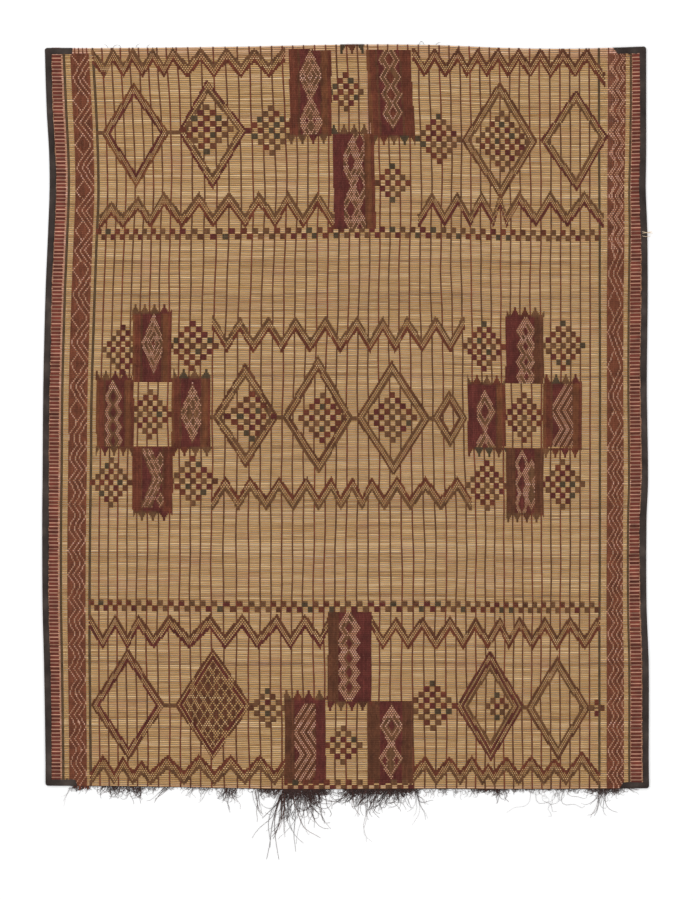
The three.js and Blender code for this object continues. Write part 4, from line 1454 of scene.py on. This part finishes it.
def binding(name, turns, seed):
    """Rings from outer to inner outline: along the top towards the corner, round it, down the side, round
    the foot corner and back along the foot. Each point of the section goes its share of the way inwards, at
    its own height, and a smoothed chance lifts the fold a little from ring to ring, as creases do."""
    edge = turns["edge"]
    inward = turns["inward"]
    top_outer, top_inner = turned_end("top_mm", edge, inward, *turns["top_mm"])
    foot_outer, foot_inner = turned_end("foot_mm", edge, inward, *turns["foot_mm"])
    side_y = np.linspace(top_inner[-1, 1], foot_inner[-1, 1], SIDE_STEPS)
    side_outer = np.stack([side_px(edge, side_y), side_y], -1)
    side_inner = side_outer + np.array([inward * LIP_PX, 0.0])
    outer = np.concatenate([top_outer, side_outer, foot_outer[::-1]])
    inner = np.concatenate([top_inner, side_inner, foot_inner[::-1]])
    crease_luck = np.random.default_rng(seed)
    count = len(outer)
    uneven = LIP_WAVE * np.sin(np.arange(count) / LIP_WAVE_STEPS) + crease_luck.normal(0, LIP_VARY, count)
    inner += (inner - outer) * uneven[:, None]
    share = np.array(SECTION["inward"])
    high = np.array(SECTION["high_mm"]) * MM
    flat = outer[:, None, :] + (inner - outer)[:, None, :] * share[None, :, None]
    soft = np.convolve(crease_luck.normal(0, 1, count), [0.25, 0.5, 0.25], "same")
    lift = np.minimum(1 + CREASE_LIFT * soft[:, None] * (high > FOLD_FROM_MM * MM), LIFT_LIMIT)
    points = to_frame(flat[..., 0], flat[..., 1], high[None, :] * lift)
    quads, fans = tube_faces(np.arange(count).reshape(1, count), len(share), turned=inward > 0)
    return make_piece(name, points.reshape(-1, 3), quads, fans)


for seed, (name, turns) in enumerate(BINDINGS.items(), 800):
    piece = binding(f"binding_strip_{name}", turns, seed)
    finish_piece(piece, BINDING_LEATHER, [f"binding_{name}"])

# %% [markdown]
# ## Fringe
#
# Dark wiry hair hangs out of the foot edge. It is thin and curly in places, and a few thick locks reach far
# down. A particle system could grow it, but the export needs real meshes. Each row of the table is one tuft:
# where it starts and ends across the mat, how many hairs it has, how far they reach down and lean sideways,
# how much they curl and how thick they are. Every hair is a three-sided tube along a curve that falls from
# the edge to the floor.

# %% Tufts
# from_px, to_px, hairs, long_px, lean and spread in degrees from straight down, curl in radians, thick_mm
TUFTS = [
    (74, 90, 40, 9, -25, 45, 3.5, 0.60),
    (70, 73, 2, 22, -25, 4, 0.5, 0.35),
    (90, 282, 110, 7, -20, 60, 3.5, 0.45),
    (104, 124, 36, 15, 0, 40, 3.6, 0.60),
    (124, 141, 36, 17, 8, 36, 3.0, 0.60),
    (141, 170, 14, 12, -55, 20, 2.0, 0.45),
    (166, 172, 4, 25, -50, 5, 1.0, 0.60),
    (190, 216, 14, 18, -40, 25, 2.0, 0.50),
    (222, 238, 22, 20, 0, 32, 2.4, 0.60),
    (226, 232, 4, 26, -15, 10, 1.4, 0.90),
    (252, 258, 4, 34, 6, 5, 0.9, 0.60),
    (260, 284, 50, 13, -10, 50, 4.0, 0.60),
    (281, 286, 9, 46, 0, 3, 0.5, 0.90),
    (281, 286, 5, 69, -16, 3, 1.0, 0.85),
    (286, 292, 7, 54, 6, 4, 1.2, 0.75),
    (282, 326, 200, 13, 0, 60, 5.0, 0.80),
    (288, 322, 60, 28, -4, 34, 3.2, 0.75),
    (300, 318, 14, 42, 4, 14, 2.2, 0.70),
    (303, 313, 6, 58, -18, 5, 1.0, 0.50),
    (326, 345, 10, 16, 0, 30, 2.5, 0.40),
    (345, 416, 200, 12, -5, 60, 5.0, 0.80),
    (352, 398, 70, 28, -38, 15, 1.6, 0.70),
    (362, 374, 3, 58, -5, 5, 1.6, 0.40),
    (392, 418, 26, 24, -10, 30, 2.6, 0.55),
    (414, 418, 3, 44, 14, 4, 0.8, 0.45),
    (418, 476, 44, 12, -10, 50, 3.5, 0.45),
    (474, 500, 80, 7, 0, 65, 4.0, 0.75),
    (496, 504, 16, 14, 8, 15, 1.8, 0.75),
    (503, 562, 90, 7, 0, 65, 4.0, 0.50),
    (528, 566, 8, 34, 10, 30, 5.0, 0.40),
    (560, 592, 40, 9, 0, 50, 3.5, 0.45),
    (588, 622, 90, 11, 0, 50, 3.5, 0.65),
    (600, 607, 9, 32, -14, 8, 2.2, 0.65),
    (626, 634, 3, 13, 62, 6, 0.5, 0.60),
]
HAIR_STEPS = 10
HAIR_SIDES = 3
HAIR_MORE = 1.35
HAIR_INSET_PX = 0.8
HAIR_LENGTHS = (0.45, 1.2)
HAIR_SWAYS = (0.1, 0.45)
HAIR_BEATS = (0.6, 1.8)
HAIR_THICKS = (0.7, 1.25)
HAIR_SCATTER = 0.8
HAIR_FOLD_BACK = 0.35
HAIR_TAPER = 0.55
HAIR_FLOOR_MM = 0.5
HAIR_RISE_MM = 3.2
HAIR_SWAY_RISE_MM = 0.5
TUFTS_SPLIT_PX = 330
TINY = 1e-12


def tubes(name, middle, thick, sides, first_angle=0.0, **looks):
    """Round tubes about rows of middle points. A ring's points lie at even angles in the plane across the
    tube's heading: a level direction times the cosine, and an upright one times the sine."""
    ahead = np.gradient(middle, axis=1)
    ahead /= np.linalg.norm(ahead, axis=2, keepdims=True) + TINY
    level = np.stack([-ahead[..., 1], ahead[..., 0], 0 * ahead[..., 0]], -1)
    level /= np.linalg.norm(level, axis=2, keepdims=True) + TINY
    upright = np.cross(ahead, level)
    turn = first_angle + np.arange(sides) * 2 * np.pi / sides
    out = np.cos(turn)[:, None] * level[:, :, None, :] + np.sin(turn)[:, None] * upright[:, :, None, :]
    points = middle[:, :, None, :] + thick[..., None, None] * out
    rings = np.arange(middle[..., 0].size).reshape(middle.shape[:2])
    quads, fans = tube_faces(rings, sides, turned=True)
    return make_piece(name, points.reshape(-1, 3), quads, fans, **looks)


def hairs(name, rows, seed):
    """Every hair of the listed tufts. A hair starts just inside the edge, at the height of the stems, and
    sinks to the floor with the square of what is left of its length. Its heading starts near the tuft's
    lean, turns ever faster along the hair and sways on top of that, and its places are the running sum of
    short steps along the heading. Where a hair would run back under the mat, it is folded forwards again
    at a third of that distance."""
    hair_luck = np.random.default_rng(seed)
    table = np.array(rows, float)
    table = np.repeat(table, np.ceil(table[:, 2] * HAIR_MORE).astype(int), axis=0)
    total = len(table)
    from_px, to_px, _, long_px, lean, spread, curl, thick_mm = table.T
    start_x = from_px + (to_px - from_px) * hair_luck.random(total)
    start_y = end_px("foot_mm", start_x) - HAIR_INSET_PX
    t = np.linspace(0, 1, HAIR_STEPS)[None, :]
    length = long_px * hair_luck.uniform(*HAIR_LENGTHS, total)
    heading = np.radians(lean + spread * hair_luck.normal(0, HAIR_SCATTER, total))
    bend = curl * hair_luck.normal(0, HAIR_SCATTER, total)
    sway = curl * hair_luck.uniform(*HAIR_SWAYS, total)
    beats = hair_luck.uniform(*HAIR_BEATS, total)
    phase = hair_luck.uniform(0, 2 * np.pi, total)
    swaying = np.sin(2 * np.pi * beats[:, None] * t + phase[:, None])
    angle = heading[:, None] + bend[:, None] * t * t + sway[:, None] * swaying * t
    step = (length / HAIR_STEPS)[:, None]
    x = start_x[:, None] + np.cumsum(step * np.sin(angle), axis=1)
    fall = np.cumsum(step * np.cos(angle), axis=1)
    turned_back = HAIR_INSET_PX + HAIR_FOLD_BACK * np.abs(fall - HAIR_INSET_PX)
    y = start_y[:, None] + np.where(fall < HAIR_INSET_PX, turned_back, fall)
    high = HAIR_FLOOR_MM + HAIR_RISE_MM * hair_luck.random((total, 1)) * (1 - t) ** 2
    high = (high + HAIR_SWAY_RISE_MM * hair_luck.random((total, 1)) * swaying ** 2) * MM
    thick = thick_mm[:, None] * hair_luck.uniform(*HAIR_THICKS, (total, 1)) * (1 - HAIR_TAPER * t) * MM
    tone = np.repeat(np.clip(hair_luck.normal(0.35, 0.25, total), 0, 1), HAIR_STEPS * HAIR_SIDES)
    return tubes(name, to_frame(x, y, high), thick, HAIR_SIDES, np.pi / 2, values={"tone": tone})


halves = {
    "left": [row for row in TUFTS if row[0] < TUFTS_SPLIT_PX],
    "right": [row for row in TUFTS if row[0] >= TUFTS_SPLIT_PX],
}
for seed, (name, rows) in enumerate(halves.items(), 900):
    finish_piece(hairs(f"hair_{name}", rows, seed), HAIR, [f"fringe_{name}"])

# %% [markdown]
# ## Loose ends
#
# Along the foot a dark twisted thread holds the last stem. The strips of the left side band hang a little
# past the edge, a few hairs stand out of the top edge, and at the right edge a pale thread is knotted over
# the binding where it was mended. A bevelled curve would do for one thread. Here all of them come from the
# same tube helper as the hair, because places are already arrays.

# %% The twist
THREAD_SIDES = 6
DARK_THREAD = (0.040, 0.020, 0.016)
TWIST = {"from_px": 77, "to_px": 621, "steps": 420, "turn_px": 1.1, "half_px": 0.22, "half_mm": 0.6}


def threads(name, x_px, y_px, high_mm, thick_mm, dye):
    """Tubes through places in the photograph, one tube to a row of the arrays. Towards both ends each gets
    thinner with the sixth power of the distance from its middle."""
    middle = to_frame(x_px, y_px, high_mm * MM)
    thin = 1 - 0.6 * np.abs(np.linspace(-1, 1, middle.shape[1])) ** 6
    count = middle[..., 0].size * THREAD_SIDES
    values = {"stem": np.full(count, ON_CROWN)}
    colours = {"dye": np.tile(np.array(dye), (count, 1))}
    thick = thick_mm * MM * thin[None, :]
    piece = tubes(name, middle, thick, THREAD_SIDES, values=values, colours=colours)
    finish_piece(piece, STRIP_LEATHER)


along_foot = np.linspace(TWIST["from_px"], TWIST["to_px"], TWIST["steps"])
phase = np.array([[0.0], [np.pi]]) + along_foot[None, :] / TWIST["turn_px"]
twist_y = end_px("foot_mm", along_foot)[None, :] - 0.15 + TWIST["half_px"] * np.sin(phase)
twist_high = 2.2 + TWIST["half_mm"] * np.cos(phase)
twist_x = np.repeat(along_foot[None, :], 2, axis=0)
threads("foot_twist", twist_x, twist_y, high_mm=twist_high, thick_mm=0.75, dye=DARK_THREAD)

# %% Strip ends under the left side band, and hairs at the top edge
BAND_ENDS = {"count": 12, "from_px": 75.5, "to_px": 88.5}
WISPS = {
    "x_px": [108, 113, 121, 136, 147, 419, 424, 436],
    "lean_px": [-4, 5, -3, 4, 3, 3, -4, 5],
}
end_luck = np.random.default_rng(40)
steps = np.linspace(0, 1, 7)[None, :]
band_ends = (BAND_ENDS["count"], 1)
end_x = np.linspace(BAND_ENDS["from_px"], BAND_ENDS["to_px"], BAND_ENDS["count"])[:, None]
end_x = end_x + end_luck.normal(0, 0.5, band_ends) * (1 + 2 * steps ** 2)
end_y = end_px("foot_mm", end_x) - 1.5 + end_luck.uniform(3.0, 7.0, band_ends) * steps
threads("band_ends", end_x, end_y, high_mm=2.6 - 1.6 * steps, thick_mm=1.3, dye=DYES[RUSSET])
wisp_x = np.array(WISPS["x_px"])[:, None] + np.array(WISPS["lean_px"])[:, None] * steps ** 2
wisp_long = end_luck.uniform(4, 8, (len(WISPS["x_px"]), 1))
wisp_y = end_px("top_mm", wisp_x) + 1.0 - wisp_long * steps * (1.4 - 0.6 * steps)
threads("top_wisps", wisp_x, wisp_y, high_mm=3.0 - 2.0 * steps, thick_mm=0.35, dye=DARK_THREAD)

# %% The mending thread
PALE_THREAD = (0.62, 0.50, 0.36)
KNOT_FROM_PX = 641.5
KNOT_LONG_PX = np.array([[10.5], [11.5], [9.0]])
KNOT_Y_PX = np.array([[231.5], [233.5], [236.0]])
KNOT_BOW_PX = np.array([[1.2], [-0.6], [0.8]])
knot_x = KNOT_FROM_PX + KNOT_LONG_PX * steps
knot_y = KNOT_Y_PX + KNOT_BOW_PX * np.sin(3 * steps)
knot_high = 5.4 + 1.0 * np.sin(np.pi * steps)
threads("mending_thread", knot_x, knot_y, high_mm=knot_high, thick_mm=0.7, dye=PALE_THREAD)
